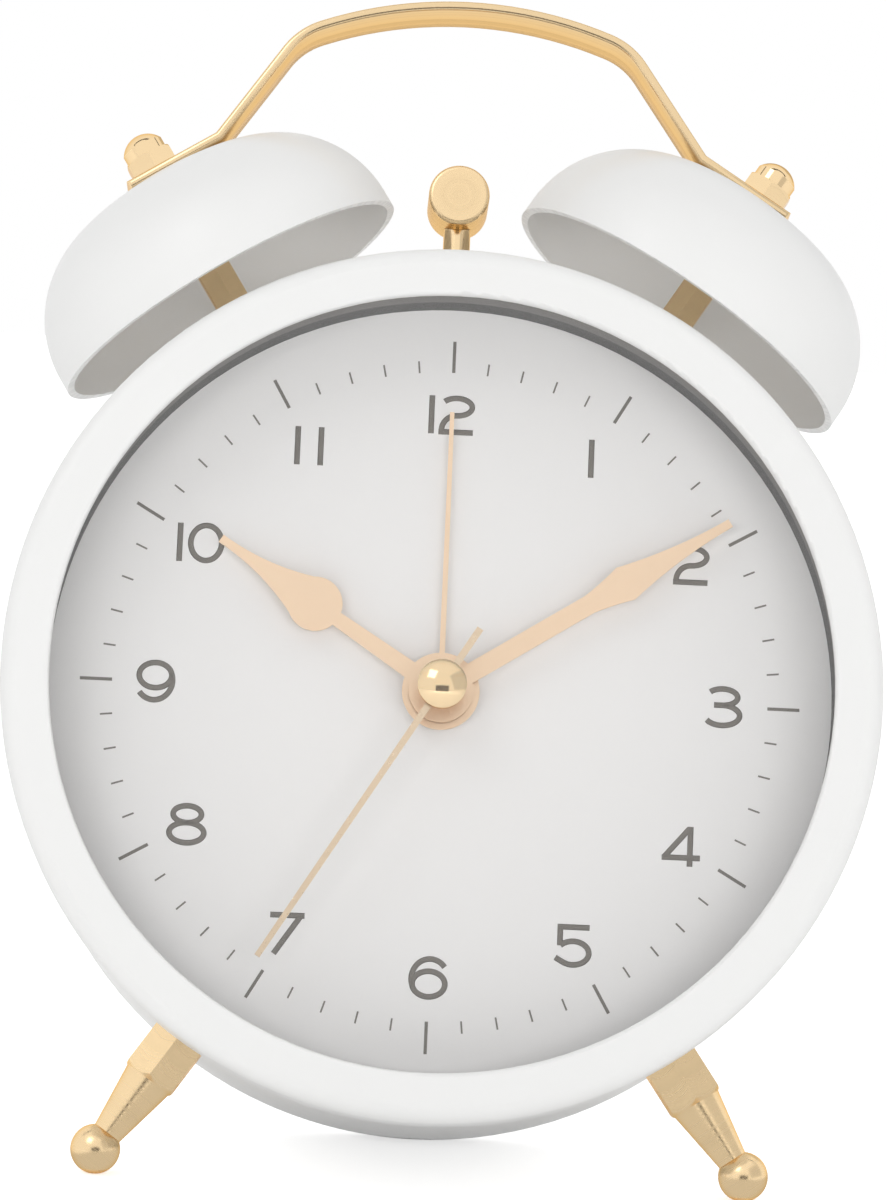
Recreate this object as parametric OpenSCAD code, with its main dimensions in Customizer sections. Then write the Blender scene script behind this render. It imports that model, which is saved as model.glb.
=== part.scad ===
// Twin bell alarm clock, built piece by piece.
// Clock frame: X to the right, Y from the bezel's front face to the back, Z towards twelve.
// Every piece is drawn in the clock frame, then leaned back onto its two legs and its rear edge.

/* [Case] */
// Radius of the drawn steel case
case_r = 49; // [46:0.5:54]
// Wall of the case
case_wall = 1; // [0.8:0.1:1.6]
// Depth from the bezel's front to the rear face of the case
case_depth = 52; // [50:0.5:60]
// Rounding of the rear edge
rear_round = 7; // [5:0.5:8]
// Radius of the opening in the rear face
rear_opening_r = 38.2; // [37.5:0.1:38.6]

/* [Bezel, lens and dial] */
// Overlap of the bezel's skirt outside the case
bezel_skirt_t = 0.95; // [0.8:0.05:1.6]
// Length of the bezel's skirt
bezel_skirt_l = 6.5; // [5:0.5:9]
// Thickness of the bezel's front flange
bezel_flange = 1; // [0.8:0.1:1.4]
// Width of the bezel's front face
bezel_face = 5.6; // [5:0.1:8]
// Rounding of the bezel's outer edge
bezel_round = 1.8; // [1:0.1:1.8]
// Rounding of the bezel's inner lip
lip_round = 0.45; // [0.2:0.05:0.5]
// Thickness of the lens
lens_t = 1.4; // [1:0.1:2]
// Depth of the dial below the bezel's front
dial_depth = 12.3; // [12.2:0.1:13]
// Thickness of the dial
dial_t = 0.5; // [0.4:0.1:0.8]
// Wall of the ring between lens and dial
ring_wall = 2.8; // [1.5:0.1:3.4]

/* [Legs] */
// Angle of each leg from straight down
leg_angle = 34.7; // [30:0.1:40]
// Depth of the legs behind the bezel's front
leg_y = 16.4; // [16.3:0.1:20]
// Width across flats of the leg's hexagon
leg_hex = 6.2; // [5:0.1:7]
// Length of the hexagon outside the case
leg_hex_l = 6.2; // [4:0.1:8]
// Diameter of the turned taper at its thick end
leg_taper_d = 6.4; // [5:0.1:7]
// Diameter of the turned taper at the foot
leg_waist_d = 3.5; // [3:0.05:4]
// Diameter of the ball foot
foot_d = 5.7; // [5:0.1:7]
// Length of the leg from the case to the middle of its ball foot
leg_l = 16; // [13:0.5:20]
// Depth of the flat worn under the foot
foot_flat = 0.12; // [0.05:0.01:0.3]

/* [Bells] */
// Tilt of each bell's axis from twelve
bell_angle = 32.4; // [30:0.1:35]
// Height on the dial's vertical line where the two bell axes cross
bell_cross_z = 6.3; // [4:0.1:8]
// Depth of the bells behind the bezel's front
bell_y = 25; // [24:0.5:26]
// Rise of the bell's rim over the case, from the crossing of the axes
bell_rise = 0.3; // [-0.5:0.1:3]
// Radius of the rim
bell_rim_r = 22.25; // [20:0.05:22.5]
// Height of the bell
bell_h = 16.8; // [15:0.1:18]
// Radius of curvature of the crown
bell_crown_r = 46; // [40:1:60]
// Radius of curvature of the shoulder
bell_shoulder_r = 13.6; // [10:0.1:15]
// Wall of the bell
bell_wall = 0.9; // [0.6:0.1:1.2]
// Width across flats of the bell post
post_hex = 4; // [3.8:0.1:5]

/* [Studs and nuts] */
// Radius of every stud
stud_r = 1.5; // [1.2:0.05:1.6]
// Width across flats of the nuts
nut_hex = 5.5; // [5:0.1:6]
// Thickness of the nuts inside the case
nut_t = 2; // [1.5:0.1:3]
// Height of the cap nut's hexagon
cap_hex_h = 2.2; // [1.5:0.1:3]
// Diameter of the cap nut's dome
cap_dome_d = 5.1; // [4:0.1:5.4]
// Height of the cap nut
cap_h = 5; // [4.5:0.1:6]

/* [Handle] */
// Width of the strap
handle_w = 8; // [6:0.1:9]
// Thickness of the strap
handle_t = 1.15; // [0.9:0.05:1.4]
// Rise of the strap's top over the case
handle_rise = 35.9; // [33:0.1:39]
// Radius of the top arc
handle_top_r = 49; // [40:1:60]
// Half angle of the top arc
handle_top_angle = 20.8; // [18:0.1:22]
// Radius of the shoulders
handle_shoulder_r = 9; // [7:0.5:11]
// Slope of the strap's sides from upright
handle_side_angle = 34.5; // [33:0.1:36]
// Reach of the tab past the cap nut's axis
handle_tab_l = 4; // [3.5:0.1:6]

/* [Hammer] */
// Diameter of the hammer's head
hammer_d = 7.2; // [6:0.1:7.4]
// Length of the hammer's head
hammer_l = 9; // [6:0.5:12]
// Rise of the hammer's head over the case
hammer_rise = 12.1; // [11:0.1:14]
// Gap between the movement's housing and the hammer's bracket
bracket_gap = 1.65; // [0.8:0.05:1.9]
// Swing of the hammer to each side, in degrees
hammer_swing = 5.5; // [3:0.1:5.6]
// Diameter of the hammer's neck
neck_d = 3.2; // [2.6:0.1:3.4]
// Radius of the pivot pin
pivot_r = 1.25; // [1:0.05:1.5]
// Thickness of the hammer's arm plate
arm_t = 1.2; // [1:0.1:1.6]
// Depth of the bell motor's shaft below the top of the case
motor_drop = 11.5; // [11:0.1:12]
// Diameter of the bell motor's can
motor_d = 20; // [18:0.5:20.5]
// Height of the bell motor's can across its flats
motor_flat = 15; // [13:0.5:15.5]
// Length of the bell motor's can
motor_l = 17; // [12:0.5:18]
// Throw of the eccentric pin
eccentric_throw = 1.2; // [0.8:0.1:1.4]
// Radius of the eccentric pin
eccentric_pin_r = 0.8; // [0.6:0.05:1]

/* [Hands] */
// Thickness of the hands
hand_t = 0.3; // [0.2:0.05:0.4]
// Height of the alarm hand above the dial
alarm_hand_h = 1.2; // [1:0.05:1.4]
// Height of the hour hand above the dial
hour_hand_h = 2.2; // [2:0.05:2.3]
// Height of the minute hand above the dial
minute_hand_h = 3; // [2.9:0.05:4]
// Height of the second hand above the dial
second_hand_h = 7.4; // [6:0.1:7.5]
// Length of the hour hand
hour_hand_l = 30.8; // [28:0.1:34]
// Length of the hour hand's spade
hour_spade_l = 13.2; // [10:0.1:16]
// Radius of the hour hand's spade
hour_spade_r = 3.15; // [2.4:0.05:4]
// Diameter of the hour hand's hub
hour_hub_d = 8.9; // [7:0.1:10]
// Length of the minute hand
minute_hand_l = 38.7; // [36:0.1:41]
// Length of the minute hand's leaf
minute_leaf_l = 14.1; // [10:0.1:18]
// Width of the minute hand's leaf
minute_leaf_w = 4.24; // [3:0.02:5]
// Length of the leaf's foot on the minute hand's stem
minute_foot_l = 5.6; // [4:0.1:8]
// Diameter of the minute hand's hub
minute_hub_d = 7.4; // [6:0.1:8.5]
// Width of the stems of the hour and minute hands
stem_w = 2.2; // [1.6:0.1:2.6]
// Width of the tips of the hour and minute hands
tip_w = 1; // [0.6:0.1:1.4]
// Length of the second hand
second_hand_l = 37.3; // [34:0.1:41]
// Length of the second hand's tail
second_tail_l = 7.8; // [5:0.1:12]
// Width of the second hand at its tail
second_hand_w = 0.8; // [0.5:0.1:1.2]
// Diameter of the second hand's hub
second_hub_d = 4.4; // [3.4:0.1:5]
// Length of the alarm hand
alarm_hand_l = 32.8; // [25:0.1:36]
// Width of the alarm hand at its hub
alarm_hand_w = 0.66; // [0.5:0.02:1]
// Diameter of the alarm hand's hub
alarm_hub_d = 8; // [7:0.1:9]
// Diameter of the centre cap
cap_d = 5.6; // [4:0.1:7]
// Height of the centre cap above the second hand
cap_rise = 2; // [1.5:0.1:2.2]
// Reading of the hour hand, degrees clockwise from twelve
hour_hand_angle = 302.6; // [0:0.1:360]
// Reading of the minute hand, degrees clockwise from twelve
minute_hand_angle = 57.2; // [0:0.1:360]
// Reading of the second hand, degrees clockwise from twelve
second_hand_angle = 211.6; // [0:0.1:360]
// Reading of the alarm hand, degrees clockwise from twelve
alarm_hand_angle = 0; // [0:0.1:360]

/* [Movement] */
// Half width of the movement's housing
movement_half_w = 28; // [27:0.5:29]
// Top of the movement's housing above the dial axis
movement_top = 18.5; // [18:0.1:19]
// Bottom of the movement's housing below the dial axis
movement_bottom = 26; // [25:0.5:28]
// Depth of the movement's housing
movement_l = 19.2; // [18.8:0.1:19.5]
// Thickness of the movement's front plate
plate_t = 2; // [1.6:0.1:2.2]
// Wall of the movement's cover
cover_wall = 1.4; // [1:0.1:1.6]
// Thickness of the wheels
wheel_t = 1.2; // [1:0.05:1.25]
// Gap between the layers of wheels
layer_gap = 0.5; // [0.4:0.05:0.55]
// Radius of the second hand's arbor
second_arbor_r = 0.5; // [0.4:0.05:0.6]
// Wall of the pipes that carry the hands
pipe_wall = 0.7; // [0.6:0.05:0.75]
// Radius of the setting arbors
setting_arbor_r = 1; // [0.8:0.05:1.1]
// Distance from the dial axis to the third wheel
third_dist = 12; // [11.8:0.1:12.2]
// Distance from the dial axis to the two setting arbors
setting_dist = 13; // [12.8:0.1:13.4]

/* [Battery and back] */
// Diameter of the battery cell
cell_d = 14.5; // [14:0.1:14.5]
// Length of the battery cell with its contact
cell_l = 50.2; // [49:0.1:50.5]
// Height of the cell's axis below the dial axis
cell_z = 15; // [14.8:0.1:15.2]
// Thickness of the back cover
back_t = 2; // [1.8:0.1:2.4]
// Lap of the back cover's flange on the case
back_lap = 2.2; // [1.5:0.1:2.6]
// Wall of the battery tray
tray_wall = 1.2; // [1:0.1:1.4]
// Lap of the battery door on the rim of the tray
door_lap = 1; // [0.6:0.1:1.2]
// Thickness of the battery door
door_t = 1.7; // [1.4:0.1:1.8]
// Radius of the knobs
knob_r = 5.5; // [4.5:0.1:6]
// Height of the knobs
knob_h = 4.5; // [3:0.1:7]
// Travel of the alarm switch
switch_travel = 4; // [3:0.1:5]

/* [Fits] */
// Radial clearance of a shaft that turns in a bore
run_fit = 0.05; // [0.02:0.01:0.08]
// Radial clearance of a piece pressed or screwed into another
press_gap = 0.02; // [0.01:0.01:0.05]
// Clearance round a stud or screw that passes through a sheet
pass_gap = 0.1; // [0.05:0.05:0.2]
// Clearance between pieces that slide past each other
slide_gap = 0.3; // [0.25:0.05:0.35]

/* [Hidden] */
$fn = 96;

// Lap of shapes that are joined into one piece
joint_lap = 0.1;

// Colours
paint = [0.94, 0.94, 0.93];
brass = [0.88, 0.74, 0.5];
rose = [0.93, 0.78, 0.64];
steel = [0.72, 0.72, 0.73];
moulding = [0.9, 0.9, 0.89];

// Places of the arbors on the dial, as seen from the front
function polar(r, a) = [r * cos(a), r * sin(a)];
third_angle = -90;
time_angle = 150;
alarm_angle = 30;
third_place = polar(third_dist, third_angle);
time_place = polar(setting_dist, time_angle);
alarm_place = polar(setting_dist, alarm_angle);

// Case and front stack
case_bore = case_r - case_wall;
bezel_r = case_r + press_gap * 2 + bezel_skirt_t;
lens_r = case_bore - pass_gap;
bezel_opening_r = bezel_r - bezel_face;
ring_bore_r = lens_r - ring_wall;
ring_y = bezel_flange + lens_t;
dial_back = dial_depth + dial_t;
chassis_y = dial_back;
chassis_t = plate_t;
chassis_back = chassis_y + chassis_t;
case_rear = case_depth;
back_face = case_rear + back_t;

// Legs; the hexagon's end is turned to a cone that scallops its flats
leg_seat = 2;
leg_scallop = 1.6;
leg_cone_in_ratio = 1.9;
leg_cone_out_ratio = 0.48;
leg_hex_end = case_r + leg_hex_l;
foot_dist = case_r + leg_l;
foot_z = foot_dist * cos(leg_angle);

// Lean of the clock, from the heights of the feet and of the rear rounding above the table
foot_rise = foot_d / 2 - foot_flat;
rear_y = case_rear - rear_round;
rear_z = -(case_r - rear_round);
stance_y = rear_y - leg_y;
stance_z = rear_z + foot_z;
lean = acos((rear_round - foot_rise) / norm([stance_y, stance_z])) - atan2(stance_y, stance_z);
stand_z = rear_round + rear_y * sin(lean) - rear_z * cos(lean);
front_reach = bezel_round * cos(lean) - (bezel_r - bezel_round) * sin(lean) - bezel_round;
flange_r = rear_opening_r + back_lap;
rear_reach = max(back_face * cos(lean) + flange_r * sin(lean),
    (back_face + slide_gap + knob_h) * cos(lean) + (time_place[1] + knob_r) * sin(lean));
stand_y = -(front_reach + rear_reach) / 2;

// Bells
bell_rim_dist = case_r + bell_rise;
bell_crown = bell_rim_dist + bell_h;
shoulder_x = bell_rim_r - bell_shoulder_r;
crown_z = bell_h - bell_crown_r;
shoulder_z = crown_z + sqrt(pow(bell_crown_r - bell_shoulder_r, 2) - pow(shoulder_x, 2));
crown_half_angle = atan2(shoulder_x, shoulder_z - crown_z);
post_corner = post_hex / 2 / cos(30);
crown_in_r = bell_crown_r - bell_wall;
post_top = bell_crown - bell_wall - (crown_in_r - sqrt(pow(crown_in_r, 2) - pow(post_corner, 2)));
tab_top = bell_crown + handle_t;
stud_hold = 2.4;
stud_past = 1;
cap_dome_ratio = 0.57;
cap_cone_in_ratio = 0.8;
cap_cone_out_ratio = 0.53;
post_skew = asin(bell_cross_z * sin(bell_angle) / case_r);
nut_corner = nut_hex / 2 / cos(30);
post_case = -bell_cross_z * cos(bell_angle)
    + sqrt(pow(case_bore, 2) - pow(bell_cross_z * sin(bell_angle), 2));
post_nut_gap = nut_corner * tan(post_skew) + pow(nut_corner, 2) / 2 / case_bore + press_gap;
leg_nut_gap = pow(nut_corner, 2) / 2 / case_bore + press_gap;

// Handle, outer line of the right half
handle_top_z = case_r + handle_rise;
top_centre = [0, handle_top_z - handle_top_r];
shoulder_centre = top_centre
    + (handle_top_r - handle_shoulder_r) * [sin(handle_top_angle), cos(handle_top_angle)];
side_turn = 90 - handle_side_angle;
strap_lap = 0.2;
side_start = shoulder_centre + handle_shoulder_r * [sin(side_turn), cos(side_turn)];
side_dir = [sin(handle_side_angle), -cos(handle_side_angle)];
side_normal = [side_dir[1], -side_dir[0]];
tab_origin = [tab_top * sin(bell_angle), bell_cross_z + tab_top * cos(bell_angle)];
tab_dir = [cos(bell_angle), -sin(bell_angle)];
tab_normal = [-sin(bell_angle), -cos(bell_angle)];
tab_end = tab_origin + handle_tab_l * tab_dir;

// Corner where the strap's side meets its tab, drawn in by t
function strap_corner(t) = let (p = side_start + t * side_normal, q = tab_origin + t * tab_normal)
    p + cross(q - p, tab_dir) / cross(side_dir, tab_dir) * side_dir;

// Hammer
hammer_z = case_r + hammer_rise;
motor_z = case_r - motor_drop;
arm_y = bell_y - arm_t / 2;
eye_wall = 1.8;
eye_r = pivot_r + eye_wall;
ear_t = 1.5;
bracket_floor = movement_top + bracket_gap;
pivot_z = bracket_floor + ear_t + slide_gap + eye_r;
window_z = motor_z;
window_swing = (motor_z - pivot_z) * sin(hammer_swing);
window_r = eccentric_throw + eccentric_pin_r + window_swing + slide_gap;
window_rim = 1.6;
tenon_step = 0.6;
tenon_r = neck_d / 2 - tenon_step;
boss_wall = 1.3;
boss_r = pivot_r + boss_wall;
pin_past = 0.6;
arm_w = 4;
boss_l = 6.4;
ear_front = bell_y - boss_l / 2 - slide_gap - ear_t;
ear_back = bell_y + boss_l / 2 + slide_gap;
motor_y = ear_back + ear_t;
bracket_w = 18;
bracket_step = 1;
bracket_top = motor_z + motor_flat / 2 - bracket_step;
disc_t = 1.2;
disc_y = ear_back - slide_gap - disc_t;
disc_rim = 0.8;
disc_r = eccentric_throw + eccentric_pin_r + disc_rim;
motor_shaft_r = 0.75;
nose_wall = 1.1;
motor_nose_r = motor_shaft_r + nose_wall;
motor_tail_r = 3;
motor_tail_l = 1.5;
slot_side = 0.6;
slot_end = 0.8;
slot_r = neck_d / 2 + slot_side;
slot_reach = (case_r - pivot_z) * tan(hammer_swing) + neck_d / 2 + slot_end - slot_r;
bracket_screw_x = 12;
bracket_flange_h = 6;
bracket_screw_z = bracket_floor + bracket_flange_h / 2;
bracket_flange_w = 2 * bracket_screw_x + bracket_flange_h;

// Hands, tapers and hollows as shares of their widths
stem_ratio = 0.71;
spade_lift_ratio = 0.175;
spade_in_ratio = 0.984;
spade_sag_ratio = 0.238;
foot_sag_ratio = 0.057;
leaf_sag_ratio = 0.19;
second_tip_ratio = 0.82;
second_collar = 0.6;
alarm_tip_ratio = 0.76;
pipe_past = 0.1;
cap_skirt = 0.9;

// Movement, layers of wheels from the dial to the back
layer = wheel_t + layer_gap;
alarm_layer = chassis_back + layer_gap;
hour_layer = alarm_layer + layer;
minute_layer = hour_layer + layer;
centre_layer = minute_layer + layer;
third_layer = centre_layer + layer;
drive_layer = third_layer + layer;
cover_back = chassis_y + movement_l;
cover_floor = cover_back - cover_wall;
pivot_skin = 0.6;
plate_pivot = chassis_y + pivot_skin;
drive_teeth = 48;
drive_r = 5.2;
arbor_tip = 0.8;
arbor_short = 0.3;
cannon_bore = second_arbor_r + run_fit;
cannon_r = cannon_bore + pipe_wall;
hour_bore = cannon_r + run_fit;
hour_pipe_r = hour_bore + pipe_wall;
alarm_bore = hour_pipe_r + run_fit;
alarm_pipe_r = alarm_bore + pipe_wall;
tooth_root_ratio = 1.05;
tooth_tip_ratio = 0.7;
root_half_ratio = 0.24;
tip_half_ratio = 0.1;
second_pinion_teeth = 8;
third_wheel_teeth = 60;
third_pinion_teeth = 8;
centre_wheel_teeth = 64;
cannon_teeth = 10;
minute_wheel_teeth = 30;
minute_pinion_teeth = 8;
hour_wheel_teeth = 32;
alarm_wheel_teeth = 32;
alarm_pinion_teeth = 16;
seconds_module = 2 * third_dist / (second_pinion_teeth + third_wheel_teeth);
centre_module = 2 * third_dist / (third_pinion_teeth + centre_wheel_teeth);
motion_module = 2 * setting_dist / (cannon_teeth + minute_wheel_teeth);
alarm_module = 2 * setting_dist / (alarm_wheel_teeth + alarm_pinion_teeth);

// Battery and back
tray_gap = 0.8;
tray_back = cover_back + tray_gap;
cell_gap = 0.25;
contact_room = 1.4;
cell_y = tray_back + tray_wall + cell_gap + cell_d / 2;
tray_half_l = cell_l / 2 + contact_room;
tray_half_h = cell_d / 2 + slide_gap;
door_half_w = tray_half_l + door_lap;
door_top = -cell_z + tray_half_h + door_lap + slide_gap;
door_bottom = -cell_z - tray_half_h - door_lap - slide_gap;
tray_outer_w = door_half_w + slide_gap + tray_wall;
tray_outer_top = door_top + tray_wall;
tray_outer_bottom = door_bottom - tray_wall;
door_y = back_face - door_t;
hinge_y = door_y + door_t / 2;
hinge_z = door_bottom + slide_gap + door_t / 2;
hinge_pin_r = 0.55;
hinge_pin_l = 1;
spigot_r = rear_opening_r - pass_gap;
spigot_l = 3;
spigot_wall = 1.6;
knob_round = 0.8;
knob_cap = 0.9;
flute_r = 0.7;
arbor_end = back_face + slide_gap + knob_h - knob_cap - pass_gap;
switch_z = 24;
switch_w = 4;
switch_h = 3.4;
switch_lip = 1.5;
switch_base_w = switch_w + 2 * (switch_travel + switch_lip);
screw_r = 1.25;
screw_head_r = 2.4;
screw_head_t = 1.1;
screw_slot_l = 2.8;
screw_slot_w = 0.6;
screw_grip = 7;
post_r = 3.2;
screw_dist = spigot_r - spigot_wall - post_r - slide_gap;
screw_angles = [45, 135, 270];
lug_r = 3;
lug_t = 1.5;
lug_x = movement_half_w + lug_r;
lug_up = 4;
lug_down = -14;
lug_places = [[lug_x, lug_up], [-lug_x, lug_up], [lug_x, lug_down], [-lug_x, lug_down]];

// Step motor, coil and stator in the movement
motor_block_x = 13;
motor_block_z = -22;
motor_block_w = 12;
motor_block_h = 13;
motor_block_y = third_layer;
stator_t = 1.2;
stator_h = 6;
coil_r = 3.4;
coil_l = 12;
stator_inset = 1;
coil_z = motor_block_z + stator_h / 2 + stator_inset;
stator_in = 3;
coil_cheek = 0.6;

// Stands the clock on its table, centred on the origin
module standing() {
    translate([0, stand_y, stand_z]) rotate([-lean, 0, 0]) children();
}

// A flat shape, seen from the front, from depth y backwards
module face_plate(y, t) {
    translate([0, y + t, 0]) rotate([90, 0, 0]) linear_extrude(t) children();
}

// A round bar along the depth, from y0 to y1, at a place on the dial
module bar(y0, y1, r, at = [0, 0]) {
    translate([at[0], y0, at[1]]) rotate([-90, 0, 0]) cylinder(h = y1 - y0, r = r);
}

// A turned shape about the dial axis, its outline given as radius and depth
module turned() {
    rotate([-90, 0, 0]) rotate_extrude() children();
}

// Frame of one bell, its axis along local Z, measured from the crossing of the axes
module on_bell_axis(side) {
    translate([0, bell_y, bell_cross_z]) rotate([0, side * bell_angle, 0]) children();
}

// Frame of one leg, its axis along local Z, measured from the dial axis
module on_leg_axis(side) {
    translate([0, leg_y, 0]) rotate([0, 180 - side * leg_angle, 0]) children();
}

// A hexagonal bar with an edge towards the front
module hex_bar(flats, z0, z1) {
    translate([0, 0, z0]) rotate([0, 0, 30]) cylinder(h = z1 - z0, d = flats / cos(30), $fn = 6);
}

// A round bar along local Z
module rod(r, z0, z1) {
    translate([0, 0, z0]) cylinder(h = z1 - z0, r = r);
}

// The space inside the case's radius, as a cutter for pieces that sit on it
module case_core(r) {
    bar(0, case_rear, r);
}

// Outline of a drawn cup with a rounded rear edge
module cup_outline(r, front, rear, rounding) {
    translate([0, front]) square([r, rear - rounding - front]);
    translate([0, front]) square([r - rounding, rear - front]);
    translate([r - rounding, rear - rounding]) circle(r = rounding);
}

// The square left outside a rounded corner, for cutting that corner
module corner_cut(x, y, r, dx, dy) {
    difference() {
        translate([x - (dx > 0 ? r : 0), y - (dy > 0 ? r : 0)]) square(r);
        translate([x - dx * r, y - dy * r]) circle(r = r);
    }
}

// Half outline of the bell, drawn in by t from its outer face
module bell_outline(t) {
    intersection() {
        translate([0, t > 0 ? -1 : 0]) square([bell_rim_r, bell_h + 1]);
        union() {
            translate([0, -1]) square([bell_rim_r - t, shoulder_z + 1]);
            translate([shoulder_x, shoulder_z]) circle(r = bell_shoulder_r - t);
            intersection() {
                translate([0, crown_z]) circle(r = bell_crown_r - t, $fn = 256);
                polygon([[0, crown_z], [0, crown_z + 2 * bell_crown_r],
                    [2 * bell_crown_r * sin(crown_half_angle),
                        crown_z + 2 * bell_crown_r * cos(crown_half_angle)]]);
            }
        }
    }
}

// Teeth with flat flanks round a solid disc, one tooth centred on the given angle
module gear(teeth, mod, phase) {
    pitch = 360 / teeth;
    root = mod * (teeth / 2 - tooth_root_ratio);
    tip = mod * (teeth / 2 + tooth_tip_ratio);
    rotate(phase) polygon([for (i = [0 : teeth - 1])
        for (step = [[root, -root_half_ratio], [tip, -tip_half_ratio],
                [tip, tip_half_ratio], [root, root_half_ratio]])
            polar(step[0], pitch * (i + step[1]))]);
}

// Case and front

module case_shell() {
    color(paint) standing() difference() {
        turned() difference() {
            cup_outline(case_r, bezel_flange, case_rear, rear_round);
            cup_outline(case_bore, 0, case_rear - case_wall, rear_round - case_wall);
            square([rear_opening_r, case_rear + 1]);
        }
        for (side = [-1, 1]) {
            on_bell_axis(side) rod(stud_r + pass_gap, case_r / 2, case_r + 1);
            on_leg_axis(side) rod(stud_r + pass_gap, case_r / 2, case_r + 1);
        }
        for (end = [-1, 1])
            translate([end * slot_reach, bell_y, 0]) rod(slot_r, case_r / 2, case_r + 1);
        translate([-slot_reach, bell_y - slot_r, case_r / 2])
            cube([2 * slot_reach, 2 * slot_r, case_r / 2 + 1]);
    }
}

module bezel() {
    skirt_r = case_r + press_gap * 2;
    color(paint) standing() turned() difference() {
        union() {
            translate([bezel_opening_r, 0]) square([bezel_r - bezel_opening_r, bezel_flange]);
            translate([skirt_r, 0]) square([bezel_r - skirt_r, bezel_skirt_l]);
        }
        corner_cut(bezel_r, 0, bezel_round, 1, -1);
        corner_cut(bezel_r, bezel_skirt_l, lip_round, 1, 1);
        corner_cut(bezel_opening_r, 0, lip_round, -1, -1);
    }
}

module lens() {
    color([0.9, 0.95, 0.97, 0.3]) standing() bar(bezel_flange, ring_y, lens_r);
}

module dial_ring() {
    color([0.42, 0.42, 0.43]) standing() difference() {
        bar(ring_y, dial_depth, lens_r);
        bar(ring_y - 1, dial_depth + 1, ring_bore_r);
    }
}

module dial() {
    color([0.87, 0.86, 0.85]) standing() difference() {
        bar(dial_depth, dial_back, lens_r);
        bar(dial_depth - 1, dial_back + 1, alarm_pipe_r + slide_gap);
    }
}

module chassis() {
    color([0.3, 0.3, 0.31]) standing() difference() {
        union() {
            bar(chassis_y, chassis_back, lens_r);
            for (a = screw_angles) bar(chassis_y, case_rear, post_r, polar(screw_dist, a));
        }
        face_plate(chassis_y - 1, chassis_t + 2) movement_outline(pass_gap);
        for (a = screw_angles)
            bar(case_rear - screw_grip - 1, case_rear + 1, screw_r + press_gap, polar(screw_dist, a));
        for (at = lug_places) bar(chassis_y - 1, chassis_back + 1, screw_r + press_gap, at);
        for (side = [-1, 1]) on_leg_axis(side)
            hex_bar(nut_hex + 2 * slide_gap, case_bore - leg_nut_gap - nut_t - slide_gap, case_r);
        for (side = [-1, 1])
            bar(chassis_y - 1, chassis_back + 1, screw_r + press_gap,
                [side * bracket_screw_x, bracket_screw_z]);
    }
}

// Legs

module leg(side) {
    ball_top = foot_dist - foot_d / 2 * cos(asin(leg_waist_d / foot_d));
    taper_start = leg_hex_end - leg_scallop;
    color(brass) intersection() {
        standing() difference() {
            on_leg_axis(side) {
                intersection() {
                    hex_bar(leg_hex, case_r - leg_seat, leg_hex_end);
                    translate([0, 0, case_r - leg_seat])
                        cylinder(h = leg_hex_l + leg_seat, r1 = leg_hex * leg_cone_in_ratio,
                            r2 = leg_hex * leg_cone_out_ratio);
                }
                translate([0, 0, taper_start])
                    cylinder(h = ball_top - taper_start, d1 = leg_taper_d, d2 = leg_waist_d);
                translate([0, 0, foot_dist]) sphere(d = foot_d);
                rod(stud_r, case_bore - leg_nut_gap - nut_t - stud_past, case_r + 1);
            }
            difference() {
                case_core(case_r);
                on_leg_axis(side) rod(stud_r + press_gap, 0, case_r + 1);
            }
        }
        translate([-foot_dist, -foot_dist, 0]) cube(2 * foot_dist);
    }
}

module left_leg() { leg(-1); }
module right_leg() { leg(1); }

module leg_nuts() {
    color(steel) standing() for (side = [-1, 1]) on_leg_axis(side) difference() {
        hex_bar(nut_hex, case_bore - leg_nut_gap - nut_t, case_bore - leg_nut_gap);
        rod(stud_r + press_gap, case_r / 2, case_r);
    }
}

// Bells, posts and handle

module bell(side) {
    color(paint) standing() on_bell_axis(side) translate([0, 0, bell_rim_dist]) difference() {
        rotate_extrude() bell_outline(0);
        rotate_extrude() bell_outline(bell_wall);
        rod(stud_r + pass_gap, 0, bell_h + 1);
    }
}

module left_bell() { bell(-1); }
module right_bell() { bell(1); }

module bell_post(side) {
    color(brass) standing() on_bell_axis(side) {
        difference() {
            hex_bar(post_hex, case_r / 2, post_top);
            rotate([0, -side * bell_angle, 0])
                translate([0, -bell_y, -bell_cross_z]) case_core(case_r);
        }
        rod(stud_r, post_case - post_nut_gap - nut_t - stud_past, tab_top + stud_hold);
    }
}

module left_bell_post() { bell_post(-1); }
module right_bell_post() { bell_post(1); }

module bell_post_nuts() {
    top = post_case - post_nut_gap;
    color(steel) standing() for (side = [-1, 1]) on_bell_axis(side) difference() {
        hex_bar(nut_hex, top - nut_t, top);
        rod(stud_r + press_gap, top - nut_t - 1, top + 1);
    }
}

module cap_nut(side) {
    dome_r = cap_dome_d * cap_dome_ratio;
    color(brass) standing() on_bell_axis(side) translate([0, 0, tab_top]) difference() {
        union() {
            intersection() {
                hex_bar(nut_hex, 0, cap_hex_h);
                cylinder(h = cap_hex_h, r1 = nut_hex * cap_cone_in_ratio,
                    r2 = nut_hex * cap_cone_out_ratio);
            }
            intersection() {
                rod(cap_dome_d / 2, 0, cap_h);
                translate([0, 0, cap_h - dome_r]) sphere(r = dome_r);
            }
        }
        rod(stud_r + press_gap, -1, stud_hold + slide_gap);
    }
}

module left_cap_nut() { cap_nut(-1); }
module right_cap_nut() { cap_nut(1); }

// Curved length of the strap between two angles from upright
module strap_arc(centre, r, from, to) {
    reach = 2 * r;
    translate(centre) intersection() {
        difference() {
            circle(r = r, $fn = 256);
            circle(r = r - handle_t, $fn = 256);
        }
        polygon([[0, 0], reach * [sin(from), cos(from)], reach * [sin(to), cos(to)]]);
    }
}

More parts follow.
